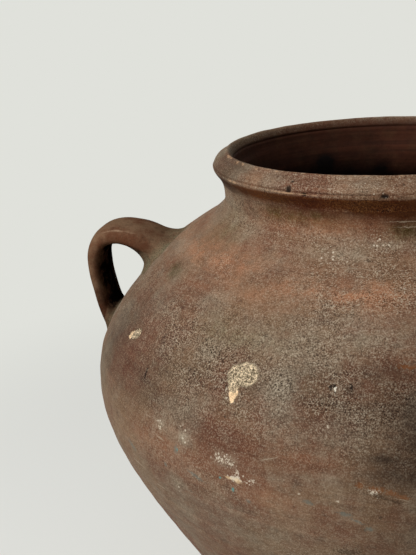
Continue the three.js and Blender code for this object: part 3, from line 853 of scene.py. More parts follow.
# Stains by kind, as for the lower wall: the same spots run on over the middle wall, the shoulder and the neck
BODY_STAINS = {
    "flush": (
        (-44.4, 0.348, 0.026, 0.009, 1.1), (-60, 0.347, 0.022, 0.008, 0.8),
        (-30, 0.338, 0.034, 0.008, 0.4), (-18, 0.344, 0.03, 0.007, 0.7), (-4, 0.343, 0.018, 0.009, 1.35),
        (4.5, 0.316, 0.01, 0.01, 0.5), (0, 0.348, ALL_ROUND, 0.024, 0.48), (-20, 0.374, 0.05, 0.008, 0.8),
        (-13, 0.272, 0.03, 0.006, 0.5), (-38, 0.256, 0.04, 0.016, 0.4), (-17, 0.247, 0.016, 0.007, 0.5),
        (120, 0.33, 0.05, 0.02, 0.7), (200, 0.29, 0.07, 0.03, 0.6),
    ),
    "red": (
        (-54.3, 0.286, 0.026, 0.016, 1), (-24, 0.273, 0.03, 0.008, 0.55),
        (-10.5, 0.2898, 0.014, 0.006, 0.8), (-40, 0.348, 0.01, 0.006, 0.5),
        (-27, 0.348, 0.012, 0.008, 0.6), (-10.6, 0.3483, 0.012, 0.006, 0.6),
        (-7.6, 0.268, 0.02, 0.006, 0.5), (60, 0.27, 0.06, 0.03, 0.7), (150, 0.25, 0.08, 0.03, 0.7),
        (240, 0.3, 0.06, 0.03, 0.7),
    ),
    "bloom": (
        (-17.2, 0.302, 0.009, 0.012, 0.9), (-32.5, 0.266, 0.0052, 0.0046, 1.5),
        (-38.3, 0.2668, 0.005, 0.0034, 1.2), (-24, 0.2624, 0.008, 0.0046, 0.9),
        (-7.5, 0.2645, 0.006, 0.0035, 0.8), (-10.7, 0.2632, 0.005, 0.0035, 0.5),
        (-12, 0.359, 0.02, 0.006, 0.8), (-63.3, 0.258, 0.012, 0.014, 0.4), (-56, 0.365, 0.013, 0.01, 0.7),
        (-46, 0.3605, 0.01, 0.006, 0.4), (-64, 0.376, 0.012, 0.01, 0.8), (1, 0.3645, 0.016, 0.003, 0.7),
        (-4, 0.326, 0.03, 0.008, 0.5), (-20, 0.22, 0.12, 0.03, 0.25), (-34, 0.2306, 0.014, 0.006, 0.4),
        (-34.6, 0.2088, 0.01, 0.012, 0.4), (-24.8, 0.2265, 0.012, 0.012, 0.4),
        (-25, 0.32, 0.02, 0.008, 0.9), (-72, 0.343, 0.016, 0.008, 0.6), (-3, 0.335, 0.018, 0.007, 0.45),
        (-18.3, 0.2983, 0.01, 0.006, 0.4), (-6, 0.256, 0.01, 0.006, 0.4), (-32, 0.248, 0.012, 0.006, 0.3),
        (90, 0.3, 0.06, 0.03, 0.6), (180, 0.33, 0.06, 0.02, 0.6), (270, 0.28, 0.05, 0.03, 0.5),
    ),
    # Soot, with painted shade at the belly's left and right sides and on the neck under the rim
    "soot_and_shade": (
        (26, 0.28, 0.08, 0.05, 0.95), (-25, 0.271, 0.03, 0.01, 0.25), (-36, 0.23, 0.05, 0.02, 0.25),
        (8.5, 0.288, 0.033, 0.032, 1.05), (0.8, 0.269, 0.022, 0.006, 0.5), (30, 0.2, 0.09, 0.07, 0.8),
        (-43.5, 0.293, 0.016, 0.008, 0.22), (-43, 0.279, 0.012, 0.007, 0.28),
        (-31, 0.2745, 0.016, 0.008, 0.2), (-10, 0.28, 0.014, 0.006, 0.2),
        (-12.5, 0.3093, 0.012, 0.006, 0.18), (-23, 0.211, 0.016, 0.01, 0.22),
        (0.2, 0.2762, 0.012, 0.003, 0.7), (3, 0.3138, 0.024, 0.006, 0.5), (8, 0.3715, 0.012, 0.005, 0.7),
        (12, 0.385, 0.036, 0.006, 0.4), (-36, 0.296, 0.06, 0.018, 0.3), (-10, 0.3, 0.034, 0.014, 0.35),
        (-66, 0.286, 0.034, 0.03, 0.8), (-48, 0.274, 0.04, 0.016, 0.45), (-48, 0.2845, 0.03, 0.005, 0.25),
        (-61.2, 0.3346, 0.008, 0.005, 0.4), (-60, 0.31, 0.03, 0.02, 0.3), (160, 0.22, 0.09, 0.06, 0.7),
    ),
    "moss": (
        (-35.5, 0.379, 0.014, 0.005, 1), (-21.9, 0.379, 0.016, 0.005, 1),
        (-61.2, 0.3346, 0.009, 0.006, 0.9), (-58, 0.36, 0.02, 0.014, 0.5), (6, 0.3725, 0.013, 0.005, 1.1),
        (-30, 0.32, 0.03, 0.01, 0.4),
    ),
    # Painted shade on the neck just under the rim, all round, and faint warm darkening on the belly
    "umber_and_shade": (
        (-28, 0.385, 0.045, 0.0052, 0.55), (-50, 0.376, 0.026, 0.008, 0.35), (2, 0.385, 0.042, 0.0046, 1),
        (-6, 0.377, 0.034, 0.005, 0.45), (10, 0.381, 0.03, 0.005, 0.5), (-13, 0.27, 0.03, 0.01, 0.28),
        (7, 0.288, 0.04, 0.034, 0.28), (4, 0.235, 0.03, 0.02, 0.28), (52, 0.385, 0.06, 0.006, 1),
        (100, 0.385, 0.06, 0.006, 0.9), (160, 0.385, 0.06, 0.005, 0.9), (220, 0.385, 0.06, 0.005, 0.8),
    ),
    # Painted light and shade inside the mouth: a negative strength lightens the back wall where light falls
    # in
    "smoke_and_shade": (
        (172, 0.379, 0.022, 0.018, -0.55), (208, 0.372, 0.01, 0.0065, 0.9),
        (182, 0.3615, 0.008, 0.005, 0.5), (215, 0.36, 0.07, 0.01, 0.3),
    ),
    "lime": (
        (-24.2, 0.263, 0.0086, 0.005, 0.8), (-25.9, 0.2604, 0.004, 0.004, 0.4),
        (-23, 0.2592, 0.006, 0.004, 0.35), (-22.8, 0.2527, 0.0052, 0.002, 0.95),
        (-21.7, 0.2548, 0.0036, 0.0042, 0.85), (-19.1, 0.2549, 0.003, 0.0024, 1.05),
        (-20.2, 0.253, 0.0026, 0.0014, 0.85), (-44.6, 0.269, 0.003, 0.0024, 0.5),
        (-41.2, 0.2689, 0.005, 0.0026, 0.55), (-38.1, 0.2663, 0.006, 0.0042, 0.8),
        (-32.5, 0.2668, 0.0064, 0.006, 0.75), (-34, 0.2306, 0.009, 0.005, 0.4),
        (-1.3, 0.2597, 0.0046, 0.0034, 0.95), (-10.7, 0.265, 0.006, 0.004, 0.28),
        (-15, 0.3588, 0.015, 0.008, 0.46), (-1, 0.3651, 0.009, 0.003, 0.5),
        (4.3, 0.3464, 0.006, 0.005, 0.45), (0.6, 0.3411, 0.005, 0.004, 0.45),
        (-6, 0.352, 0.04, 0.014, 0.18), (-14, 0.369, 0.05, 0.006, 0.22), (-55, 0.3426, 0.02, 0.01, 0.18),
        (4, 0.372, 0.014, 0.006, 0.14), (-17, 0.299, 0.008, 0.012, 0.32), (-13, 0.2785, 0.02, 0.006, 0.14),
        (140, 0.26, 0.006, 0.005, 0.8), (250, 0.29, 0.005, 0.004, 0.8),
    ),
    "grit": (
        (0, 0.325, ALL_ROUND, 0.04, 0.26), (0, 0.366, ALL_ROUND, 0.012, 0.3), (-18, 0.3, 0.06, 0.026, 0.6),
        (-36, 0.305, 0.05, 0.016, 0.42), (-3, 0.295, 0.03, 0.03, 0.4), (-6, 0.348, 0.05, 0.022, 0.8),
        (-12, 0.325, 0.06, 0.014, 0.1), (-33, 0.283, 0.04, 0.016, 0.36), (-46, 0.347, 0.036, 0.01, 0.34),
        (-34, 0.246, 0.05, 0.014, 0.26), (-20, 0.215, 0.09, 0.02, 0.2), (6, 0.334, 0.014, 0.01, -0.35),
        (-43, 0.317, 0.034, 0.012, 0.42), (-46, 0.276, 0.04, 0.02, 0.18), (8, 0.285, 0.03, 0.026, 0.5),
        (-58, 0.374, 0.034, 0.014, 0.6), (90, 0.3, 0.12, 0.03, 0.5), (190, 0.3, 0.14, 0.03, 0.5),
        (270, 0.3, 0.12, 0.03, 0.5),
    ),
}
middle_wall = throw("middle_wall", wall_half_section(LOWER_JOINT, UPPER_JOINT), fired_clay)
weather(middle_wall, BODY_STAINS)
settle(middle_wall, "middle_wall")


# Seam coils
# Strips of soft clay smeared over the two body joints inside the jar. They are thickest over the joint
# itself, and dented by the fingers that pressed them on.
SEAM_COIL_HEIGHT = 0.030
SEAM_COIL_BULGE = 0.0045
SEAM_ROWS = 22
SEAM_DENTS = 44
SEAM_DENT_DEPTH = 0.0006


def seam_half_section(height):
    """A strip against the inside of the wall that swells over the joint."""
    half = SEAM_COIL_HEIGHT / 2
    rise = np.linspace(travel_at(height) - half, travel_at(height) + half, SEAM_ROWS)
    swell = COIL_EDGE + SEAM_COIL_BULGE * np.sin(np.linspace(0.0, math.pi, SEAM_ROWS)) ** 2
    wall = beside(rise, -WALL)
    facing = beside(rise) - beside(rise, 1.0)
    back = section_rows(wall)
    face = section_rows(wall + facing * swell[:, None], facing, COIL_RING_DEPTH)
    return np.vstack([back, face[::-1], back[:1]])


for seam, seam_height in (("lower_seam_coil", LOWER_JOINT), ("upper_seam_coil", UPPER_JOINT)):
    coil = throw(seam, seam_half_section(seam_height), inner_clay, SEAM_DENTS, SEAM_DENT_DEPTH)
    settle(coil, seam)


# Shoulder wall
# The third thrown section, from the belly in to the foot of the neck, luted onto the middle wall. It takes
# the knocks: flakes have sprung off it, down to clean pale clay.
NECK_JOINT = 0.356
FLAKE_EDGE = 0.35
FLAKE_ROUNDING = 0.6


def sink(piece, depths):
    """Sinks a piece's skin by a depth for each vertex."""
    places = places_of(piece)
    normals = np.empty(len(places) * 3, np.float32)
    piece.data.vertices.foreach_get("normal", normals)
    places -= normals.reshape(-1, 3) * depths[:, None]
    piece.data.vertices.foreach_set("co", places.astype(np.float32).ravel())
    piece.data.update()


def flake_depths(places):
    """How deep each place of the wall's outer skin lies in a flake."""
    deepest = np.zeros(len(places))
    for *spot, depth, _, _ in FLAKES:
        inner = ramp(spot_distance(places, *spot), 1.0, 1.0 - FLAKE_EDGE)
        deepest = np.maximum(deepest, depth * inner ** FLAKE_ROUNDING)
    return deepest * (buried(places) < WALL / 3)


shoulder_wall = throw("shoulder_wall", wall_half_section(UPPER_JOINT, NECK_JOINT), fired_clay)
weather(shoulder_wall, BODY_STAINS)
sink(shoulder_wall, flake_depths(places_of(shoulder_wall)))
settle(shoulder_wall, "shoulder_wall")


# Neck collar
# The short waisted neck, of the same coarse clay as the wall. It is thrown from a thick coil luted on top of
# the shoulder, and drawn in under the rim with a wet hand.
RIM_JOINT = 0.384
neck_collar = throw("neck_collar", wall_half_section(NECK_JOINT, RIM_JOINT), fired_clay)
weather(neck_collar, BODY_STAINS)
settle(neck_collar, "neck_collar")


# Rim band
# The heavy rim, thrown thick from the wall's own clay and pared to a sloped band over a beaded edge, with a
# rounded lip above and a bevel down to the mouth. Its edge and lip are rubbed and nicked by use. Painted
# shade lies under the edge and in its groove, and a painted highlight runs along part of the edge.
HEIGHT = 0.405
RIM_EDGE = np.array([0.123, 0.3943])
RIM_NOSE = 0.0019
RIM_NOSE_BELOW = 0.0036
RIM_HOLLOW = 0.0004
RIM_CROWN = 0.0013
RIM_GROOVE = 0.00045
RIM_GROOVE_UP = 0.0017
RIM_GROOVE_HALF = 0.00055
LIP_RADIUS = 0.112
LIP_ROUND = 0.0026
MOUTH = np.array([0.108, 0.398])
MOUTH_GROOVE = 0.0011
MOUTH_GROOVE_HALF = 0.0009
RIM_STEP = 0.0006
RIM_FEWEST_STEPS = 8


def swelled(start, end, out):
    """The corner of a curve between two points that swells out by a distance, or in where it is negative."""
    run = (end - start) / np.linalg.norm(end - start)
    return (start + end) / 2 + np.array([run[1], -run[0]]) * 2 * out


def runs(line):
    """Which way a line of points runs at each of them."""
    run = np.gradient(line, axis=0)
    return run / np.linalg.norm(run, axis=1, keepdims=True)


def rim_groove(radius, height):
    """How far places lie in the groove scored above the rim's edge."""
    from_edge = np.hypot(radius - RIM_EDGE[0], height - RIM_EDGE[1])
    return fade(from_edge - RIM_GROOVE_UP, RIM_GROOVE_HALF) * (height > RIM_EDGE[1])


def rim_path():
    """Up the hollow under the edge, round the bead, over the band and lip, and down inside to the joint."""
    outer = beside(travel_at(RIM_JOINT))[0]
    inner = beside(travel_at(RIM_JOINT), -WALL)[0]
    edge_below = RIM_EDGE - RIM_NOSE_BELOW * np.array([0.5, 1.0])
    edge_above = RIM_EDGE + RIM_NOSE * np.array([-0.5, 1.0])
    edge_tip = RIM_EDGE + np.array([RIM_NOSE / 2, 0.0])
    lip_outside = np.array([LIP_RADIUS + LIP_ROUND, HEIGHT - LIP_ROUND])
    lip_inside = np.array([LIP_RADIUS - LIP_ROUND, HEIGHT - LIP_ROUND])
    lip_top = np.array([LIP_RADIUS, HEIGHT + LIP_ROUND])
    curves = (
        (outer, swelled(outer, edge_below, -RIM_HOLLOW), edge_below),
        (edge_below, edge_tip, edge_above),
        (edge_above, swelled(edge_above, lip_outside, RIM_CROWN), lip_outside),
        (lip_outside, lip_top, lip_inside),
        (lip_inside, MOUTH),
        (MOUTH, swelled(MOUTH, inner, -RIM_HOLLOW), inner),
    )
    pieces = []
    for corners in curves:
        count = max(RIM_FEWEST_STEPS, round(np.linalg.norm(corners[-1] - corners[0]) / RIM_STEP))
        pieces.append(bend(np.linspace(0.0, 1.0, count)[:-1, None], *corners))
    return np.vstack(pieces + [inner[None]])


def rim_half_section():
    """The rim's path with its two scored grooves, its throwing rings and the groove that sits on the neck."""
    path = rim_path()
    run = runs(path)
    facing = np.stack([run[:, 1], -run[:, 0]], -1)
    facing[0] = beside(travel_at(RIM_JOINT), 1.0)[0] - path[0]
    facing[-1] = -facing[0]
    scored = RIM_GROOVE * rim_groove(path[:, 0], path[:, 1])
    scored += MOUTH_GROOVE * fade(np.linalg.norm(path - MOUTH, axis=1), MOUTH_GROOVE_HALF)
    band = section_rows(path - facing * scored[:, None], facing, OUTSIDE_RING_DEPTH)
    below_mouth = ramp(path[:, 1], MOUTH[1], path[-1, 1]) * (path[:, 0] < LIP_RADIUS)
    band[:, 4] += (INSIDE_RING_DEPTH - OUTSIDE_RING_DEPTH) * below_mouth
    return np.vstack([band, joint_ridge(RIM_JOINT), band[:1]])


# Nicks in the rim's edge and lip: azimuth, radius, height, half width, half height, depth, 1 for one drawn
# dark
RIM_NICKS = (
    (-28.2, 0.1228, 0.397, 0.0024, 0.0034, 0.0011, 1), (-27.7, 0.1184, 0.4006, 0.0013, 0.0011, 0.0004, 1),
    (-23, 0.1236, 0.3944, 0.0026, 0.0024, 0.0012, 1), (-0.3, 0.1232, 0.3952, 0.003, 0.002, 0.0009, 1),
    (-66, 0.1128, 0.4046, 0.0034, 0.0016, 0.0006, 0), (-58.3, 0.1132, 0.4044, 0.0026, 0.0018, 0.0006, 0),
    (-53.8, 0.1132, 0.4044, 0.0026, 0.0018, 0.0006, 0), (-45.2, 0.1142, 0.4036, 0.002, 0.0014, 0.0004, 0),
    (-36, 0.1125, 0.4046, 0.0018, 0.0012, 0.0004, 0), (-20, 0.1125, 0.4046, 0.0018, 0.0012, 0.0004, 0),
    (-8, 0.1142, 0.4035, 0.0018, 0.0014, 0.0004, 0), (70, 0.1232, 0.395, 0.006, 0.003, 0.0012, 0),
    (150, 0.1125, 0.4046, 0.007, 0.003, 0.001, 0), (215, 0.1232, 0.395, 0.005, 0.003, 0.0011, 0),
    (290, 0.1125, 0.4046, 0.006, 0.0026, 0.0008, 0),
)
NICK_SLOPE = 0.4
NICK_EDGE = 0.3
# Stains that run over the rim's whole section: azimuth, half width, strength
RIM_STAINS = {
    "flush": ((-42, 0.014, 0.6), (-14, 0.02, 0.42), (3, 0.018, 0.3), (160, 0.08, 0.5)),
    "red": (
        (-34, 0.012, 0.2), (-22, 0.016, 0.5), (-2, 0.016, 0.1), (2.5, 0.01, 0.35), (120, 0.05, 0.6),
        (220, 0.05, 0.6),
    ),
    "bloom": ((-9, 0.012, 0.34), (-3, 0.016, 0.15), (-36, 0.01, 0.3), (-50, 0.008, 0.4), (170, 0.04, 0.5)),
    "grit": ((0, ALL_ROUND, 0.36), (-9, 0.014, 0.45), (1, 0.012, 0.45)),
    "lime": ((-6, 0.018, 0.24), (-3.6, 0.0045, 0.1), (-66, 0.02, 0.24), (180, 0.06, 0.25)),
}
RIM_SOOT = ((-62, 0.03, 0.8), (40, 0.05, 0.4))
# Painted shade in the groove above the edge, drawn with the soot colour
GROOVE_SHADE_SPOTS = ((-10, 0.026, 0.9), (160, 0.06, 0.6))
RIM_STAIN_HEIGHT = 0.39
NICK_DARKENING = 2.0
NICK_WEAR = 1.1
# Sides of the rim: the azimuth that each faces and how far it spreads, in degrees
BARE_SIDE = (-92, 38)
LIT_EDGE_SIDE = (-28, 12)
SCUFFED_SIDE = (-52, 5)
GRIMY_SIDE = (-4, 13)
LIP_WEAR = 1.0
LIP_WEAR_LOST = 0.3
LIP_WEAR_REACH = 0.0016
# Wear of the edge and how wide it is: all round, a painted highlight line on the lit side, more wear on the
# scuffed side
EDGE_WEAR = np.array([0.72, 0.70, 0.45])
EDGE_WEAR_REACH = np.array([0.0009, 0.0004, 0.0007])
# Painted shade under the edge, in the groove and beside the edge on the grimy side, drawn into the umber mark
SHADOW_TOP = 0.0003
SHADOW_FULL = 0.0031
SHADOW_UMBER = 2.2
GROOVE_SHADE = 0.9
GRIMY_UMBER = 0.75
GRIMY_REACH = 0.0022
MOUTH_SMOKE = 0.4
MOUTH_SMOKE_LOST = 1.8

rim_band = throw("rim_band", rim_half_section(), fired_clay)
rim_places = places_of(rim_band)
rim_radius = from_axis(rim_places)
rim_height = rim_places[:, 2]


def rim_cover(spots):
    """How much of a stain lies at each place of the rim, out of spots that run over its whole section."""
    rows = [(azimuth, RIM_STAIN_HEIGHT, half, ALL_ROUND, strength) for azimuth, half, strength in spots]
    return stain_cover(rim_places, rows)


def rim_side(azimuth, spread):
    """How near each place of the rim lies to one of its sides."""
    return fade(turn_from(rim_places, azimuth), math.radians(spread))


# Nicks: how deep each place is sunk, and how much of it is freshly broken or drawn dark
rim_sunk, rim_broken, rim_dark_nicks = np.zeros((3, len(rim_places)))
for azimuth, radius, height, half_width, half_height, depth, drawn_dark in RIM_NICKS:
    across = turn_from(rim_places, azimuth) * radius / half_width
    away = np.hypot(across, np.hypot(rim_radius - radius, rim_height - height) / half_height)
    hurt = ramp(away, 1.0, 1.0 - NICK_EDGE)
    rim_sunk = np.maximum(rim_sunk, depth * ramp(away, 1.0, 1.0 - NICK_SLOPE))
    rim_broken = np.maximum(rim_broken, hurt * (1 - drawn_dark))
    rim_dark_nicks = np.maximum(rim_dark_nicks, hurt * drawn_dark)
sink(rim_band, rim_sunk)

# Stains, with painted shade under the edge and in the groove, drawn in the umber tint
in_groove = rim_groove(rim_radius, rim_height)
from_edge = np.hypot(rim_radius - RIM_EDGE[0], rim_height - RIM_EDGE[1])
under_edge = ramp(rim_height, RIM_EDGE[1] - SHADOW_TOP, RIM_EDGE[1] - SHADOW_FULL) * (rim_radius > LIP_RADIUS)
for stain, spots in RIM_STAINS.items():
    washed = under_edge if stain == "lime" else 0.0
    mark(rim_band, stain, rim_cover(spots) * (1.0 - washed))
mark(rim_band, "smoke_and_shade", stain_cover(rim_places, BODY_STAINS["smoke_and_shade"]))
mark(rim_band, "soot_and_shade", rim_cover(RIM_SOOT) + in_groove * rim_cover(GROOVE_SHADE_SPOTS) + NICK_DARKENING * rim_dark_nicks)
to_neck = ramp(rim_height, RIM_EDGE[1], RIM_JOINT)
shadow = SHADOW_UMBER * (1.0 - to_neck) + stain_cover(rim_places, BODY_STAINS["umber_and_shade"]) * to_neck
grime_and_shade = GRIMY_UMBER * rim_side(*GRIMY_SIDE) * fade(from_edge, GRIMY_REACH)
mark(rim_band, "umber_and_shade", np.maximum.reduce([under_edge * shadow, GROOVE_SHADE * in_groove, grime_and_shade]))

# Wear on the edge and the lip, more on some sides than on others, a painted highlight line along the edge on
# the lit side, and the smoke and painted shade inside the mouth
edge_sides = np.stack([np.ones(len(rim_places)), rim_side(*LIT_EDGE_SIDE), rim_side(*SCUFFED_SIDE)])
edge_wear_and_highlight = (EDGE_WEAR @ edge_sides) * fade(from_edge, EDGE_WEAR_REACH @ edge_sides)
from_lip = np.hypot(rim_radius - LIP_RADIUS - LIP_ROUND / 4, rim_height - HEIGHT)
bare_side = rim_side(*BARE_SIDE)
lip_worn = (LIP_WEAR - LIP_WEAR_LOST * bare_side) * fade(from_lip, LIP_WEAR_REACH)
mark(rim_band, "edge", np.maximum.reduce([edge_wear_and_highlight, lip_worn, NICK_WEAR * rim_broken]))
into_mouth = ramp(rim_height, HEIGHT, MOUTH[1]) ** (MOUTH_SMOKE + MOUTH_SMOKE_LOST * bare_side)
mark(rim_band, "inside", into_mouth * (rim_radius < LIP_RADIUS))
settle(rim_band, "rim_band")


# Handles
# Straps pulled from a lump of softer, finer clay and bent over while wet. The hand that pulled them left them
# smooth, and lifting has darkened them. Their side that faces the wall is painted near black as shade, and
# their ends darker, part grime and part painted shade. A painted highlight runs along the top front edge.
STRAP_CENTRE_LINE = np.array([
    (0.150, 0.320), (0.170, 0.3308), (0.187, 0.3384), (0.202, 0.3408), (0.213, 0.337),
    (0.2194, 0.3265), (0.2202, 0.312), (0.2182, 0.297), (0.2144, 0.280), (0.206, 0.259),
])
STRAP_WIDTHS = (0.048, 0.043, 0.042, 0.041, 0.041, 0.044)
STRAP_THICKNESSES = (0.0215, 0.0194, 0.0156, 0.0122, 0.0112, 0.0125)
STRAP_SQUARENESS = 0.78
STRAP_SIDES = 96
STRAP_ROWS = 150
STRAP_SAMPLES = 900
STRAP_BURIED = 0.004
STRAP_LUMP = 0.00035
STRAP_LUMP_SPAN = 0.016
BEND_STEPS = 60


def through(points):
    """A smooth curve through a row of points, whose bends never overshoot into loops."""
    ends = np.vstack([2 * points[0] - points[1], points, 2 * points[-1] - points[-2]])
    share = np.linspace(0.0, 1.0, BEND_STEPS, endpoint=False)[:, None]
    curve = []
    for a, b, c, d in zip(ends, ends[1:], ends[2:], ends[3:]):
        before, here, after = (np.linalg.norm(q - p) ** 0.5 for p, q in ((a, b), (b, c), (c, d)))
        leave = here * ((b - a) / before - (c - a) / (before + here)) + (c - b)
        arrive = (c - b) + here * ((d - c) / after - (d - b) / (here + after))
        curve.append(bend(share, b, b + leave / 3, c - arrive / 3, c))
    return np.vstack(curve + [points[-1:]])


def squared(wave):
    """A wave flattened towards a square one, which gives the strap's section its flat sides."""
    return np.sign(wave) * np.abs(wave) ** STRAP_SQUARENESS


strap_turn = np.linspace(0.0, math.tau, STRAP_SIDES, endpoint=False)


def strap_lines():
    """The lines along the strap, one for each point round its section, its centre line and its length."""
    line = through(STRAP_CENTRE_LINE)
    gone = travelled(line)
    share = np.linspace(0.0, 1.0, STRAP_SAMPLES)
    centre = np.stack([np.interp(share * gone[-1], gone, line[:, axis]) for axis in (0, 1)], -1)
    run = runs(centre)
    halves = []
    for sizes in (STRAP_WIDTHS, STRAP_THICKNESSES):
        smooth = through(np.column_stack([np.linspace(0.0, 1.0, len(sizes)), sizes]))
        halves.append(np.interp(share, smooth[:, 0], smooth[:, 1]) / 2)
    across = halves[0] * squared(np.cos(strap_turn))[:, None]
    through_it = halves[1] * squared(np.sin(strap_turn))[:, None]
    x = centre[:, 0] - run[:, 1] * through_it
    z = centre[:, 1] + run[:, 0] * through_it
    middle = np.stack([centre[:, 0], np.zeros(STRAP_SAMPLES), centre[:, 1]], -1)
    return np.stack([x, across, z], -1), middle, gone[-1]


lines, centre_line, strap_length = strap_lines()
half_way = STRAP_SAMPLES // 2


def crossing(line, depth, towards_end):
    """The sample, counted in parts, at which a line along the strap first lies so deep in the wall."""
    order = np.arange(half_way, STRAP_SAMPLES) if towards_end else np.arange(half_way, -1, -1)
    deep = buried(line[order]) - depth
    hit = int(np.argmax(deep > 0)) if (deep > 0).any() else len(order) - 1
    before = max(hit - 1, 0)
    part = deep[before] / (deep[before] - deep[hit]) if hit and deep[hit] > 0 else 0.0
    return order[before] + (order[hit] - order[before]) * part


def along(line, sample):
    """Places on a line of samples, at samples counted in parts."""
    return np.stack([np.interp(sample, np.arange(len(line)), line[:, axis]) for axis in (0, 1, 2)], -1)


def skin_mesh(name, rings, clay, capped):
    """A closed skin over rings of places: capped at both ends, or joined from the last ring to the first."""
    count, sides = rings.shape[:2]
    places = [tuple(place) for place in rings.reshape(-1, 3)]
    faces = []
    for ring in range(count - 1 if capped else count):
        here = ring * sides
        after = (ring + 1) % count * sides
        for side in range(sides):
            beyond = (side + 1) % sides
            faces.append((here + side, here + beyond, after + beyond, after + side))
    if capped:
        faces.append(tuple(range(sides))[::-1])
        faces.append(tuple((count - 1) * sides + side for side in range(sides)))
    mesh = bpy.data.meshes.new(name)
    mesh.from_pydata(places, [], faces)
    mesh.polygons.foreach_set("use_smooth", np.ones(len(faces), bool))
    mesh.materials.append(clay)
    piece = bpy.data.objects.new(name, mesh)
    bpy.context.scene.collection.objects.link(piece)
    return piece


def lumpy(piece, depth, width):
    """Moves a piece's skin in and out a little, as a hand leaves it."""
    mesh = piece.data
    moves = [vertex.normal * depth * noise.noise(vertex.co / width) for vertex in mesh.vertices]
    for vertex, move in zip(mesh.vertices, moves):
        vertex.co += move
    mesh.update()


def turned_round(rings, side):
    """The right handle's rings, or the same ones turned half round the jar for the left handle."""
    return rings * np.array([-1.0, -1.0, 1.0]) if side == "left" else rings


STRAP_CLAY = "#7b604a"
STRAP_PATCHES = (
    ("#5b3625", 0.030, 21.0, 0.42, 0.62, 0.85),
    ("#6b5640", 0.014, 22.0, 0.50, 0.70, 0.60),
    ("#332117", 0.008, 23.0, 0.54, 0.72, 0.55),
)
# A painted highlight along the strap's top front edge, in ragged pale bits
STRAP_HIGHLIGHT = ("#a88c72", 24.0, 5.0, 0.65, 0.30, 0.60, 0.65)
# The grime mark is near black: painted shade on the side of strap and lutes that faces the wall, and grime
# with painted shade at the strap's ends
STRAP_STAINS = (("smear", "#6c624d", 0.006, 25.0, 0.32, 0.90), ("grime_and_shade", "#070403", 0.012, 26.0, 0.45, 1.00))
# Tones of the darkest and the palest grains, from smooth clay to smeared clay
GRAIN_TONES = (span(0.0, 1.0, 0.76, 0.35), span(0.0, 1.0, 1.24, 1.60))
STRAP_RELIEF = 0.00012
STRAP_DULLNESS = span(*COMMON_NOISE, 0.40, 0.60)
STRAP_SHINE = 0.0


def handled_clay():
    """Finer clay smoothed by a wet hand and by years of lifting: darker and more even than the wall."""
    clay, tree, place = new_skin("handled_clay")
    skin = mottled(tree, place, linear(STRAP_CLAY), STRAP_PATCHES)
    skin = rubbed_and_highlighted(tree, place, skin, *STRAP_HIGHLIGHT)
    skin = stained(tree, place, skin, STRAP_STAINS)
    links = {"Vector": place, "Scale": 1 / GRIT_SIZE, "Detail": 3.0, "Roughness": 0.7}
    grains = add(tree, "ShaderNodeTexNoise", links)
    smeared = add(tree, "ShaderNodeAttribute", out="Fac", attribute_name="smear")
    darkest, palest = (add(tree, "ShaderNodeMapRange", {0: smeared, **tones}) for tones in GRAIN_TONES)
    tone = add(tree, "ShaderNodeMapRange", {0: grains, **span(*COMMON_NOISE, darkest, palest)})
    skin = add(tree, "ShaderNodeVectorMath", {0: skin, "Scale": tone}, operation="SCALE")
    relief = add(tree, "ShaderNodeMath", {0: grains, 1: STRAP_RELIEF}, operation="MULTIPLY")
    dullness = add(tree, "ShaderNodeMapRange", {0: grains, **STRAP_DULLNESS})
    surfaced(tree, skin, dullness, relief, STRAP_SHINE)
    return clay


# A painted highlight, and grime and painted shade, along the strap, in shares of its length, and round its
# section, in radians
FINGER_SIDE_START = 0.28
HIGHLIGHT_ALONG = (0.29, 0.13)
HIGHLIGHT_ROUND = (0.55, 0.16)
LOWER_END = (0.45, 0.90)
UPPER_END = (0.25, 0.0)
LOWER_END_SHADE_AND_GRIME = 0.8
UPPER_END_DARKENING = 0.35
FINGER_SHADE = 1.45

handle_clay = handled_clay()
strap_starts = np.array([crossing(line, STRAP_BURIED, False) for line in lines])
strap_ends = np.array([crossing(line, STRAP_BURIED, True) for line in lines])
strap_rows = np.linspace(strap_starts, strap_ends, STRAP_ROWS)
strap_rings = np.stack([along(line, strap_rows[:, side]) for side, line in enumerate(lines)], 1)
strap_share = np.linspace(0.0, 1.0, STRAP_ROWS)
finger_side = ramp(-np.sin(strap_turn), FINGER_SIDE_START, 1.0)
highlight_along = fade(strap_share - HIGHLIGHT_ALONG[0], HIGHLIGHT_ALONG[1])
highlight_round = fade(strap_turn - HIGHLIGHT_ROUND[0], HIGHLIGHT_ROUND[1])
end_darkening = LOWER_END_SHADE_AND_GRIME * ramp(strap_share, *LOWER_END) + UPPER_END_DARKENING * ramp(strap_share, *UPPER_END)
for hand in ("left", "right"):
    strap = skin_mesh("clay_" + hand + "_handle", turned_round(strap_rings, hand), handle_clay, True)
    # On the strap the edge mark is a painted highlight
    mark(strap, "edge", np.outer(highlight_along, highlight_round).ravel())
    mark(strap, "grime_and_shade", np.maximum.outer(end_darkening, FINGER_SHADE * finger_side).ravel())
    lumpy(strap, STRAP_LUMP, STRAP_LUMP_SPAN)
    settle(strap, hand + "_handle")


# Handle lutes
# Fillets of the handles' own soft clay, worked round each end of each strap with a thumb while both are damp,
# so that strap and wall run into each other. Slip and dust stay pale where they thin out on the wall.
LUTE_ON_STRAP = 0.0115
LUTE_ON_WALL = 0.0075
LUTE_UNEVEN = 0.35
LUTE_UNEVEN_SPAN = 0.012
LUTE_UNDER = 2.8
LUTE_ROWS = 18
LUTE_SUNK = 0.0005
LUTE_BURIED = 0.0016
LUTE_BACK = 0.1
LUTE_SMEAR = 1.6
LUTE_FINGER_SHADE = 1.6
LUTE_GRIME = 0.35
LOWER_LUTE_SHADE_AND_GRIME = 0.5
# How much smear has to lie on a lute to hide its painted shade on the finger side, and its grime elsewhere
FINGER_SMEAR = (1.3, 0.3)
OTHER_SMEAR = (1.0, 0.0)


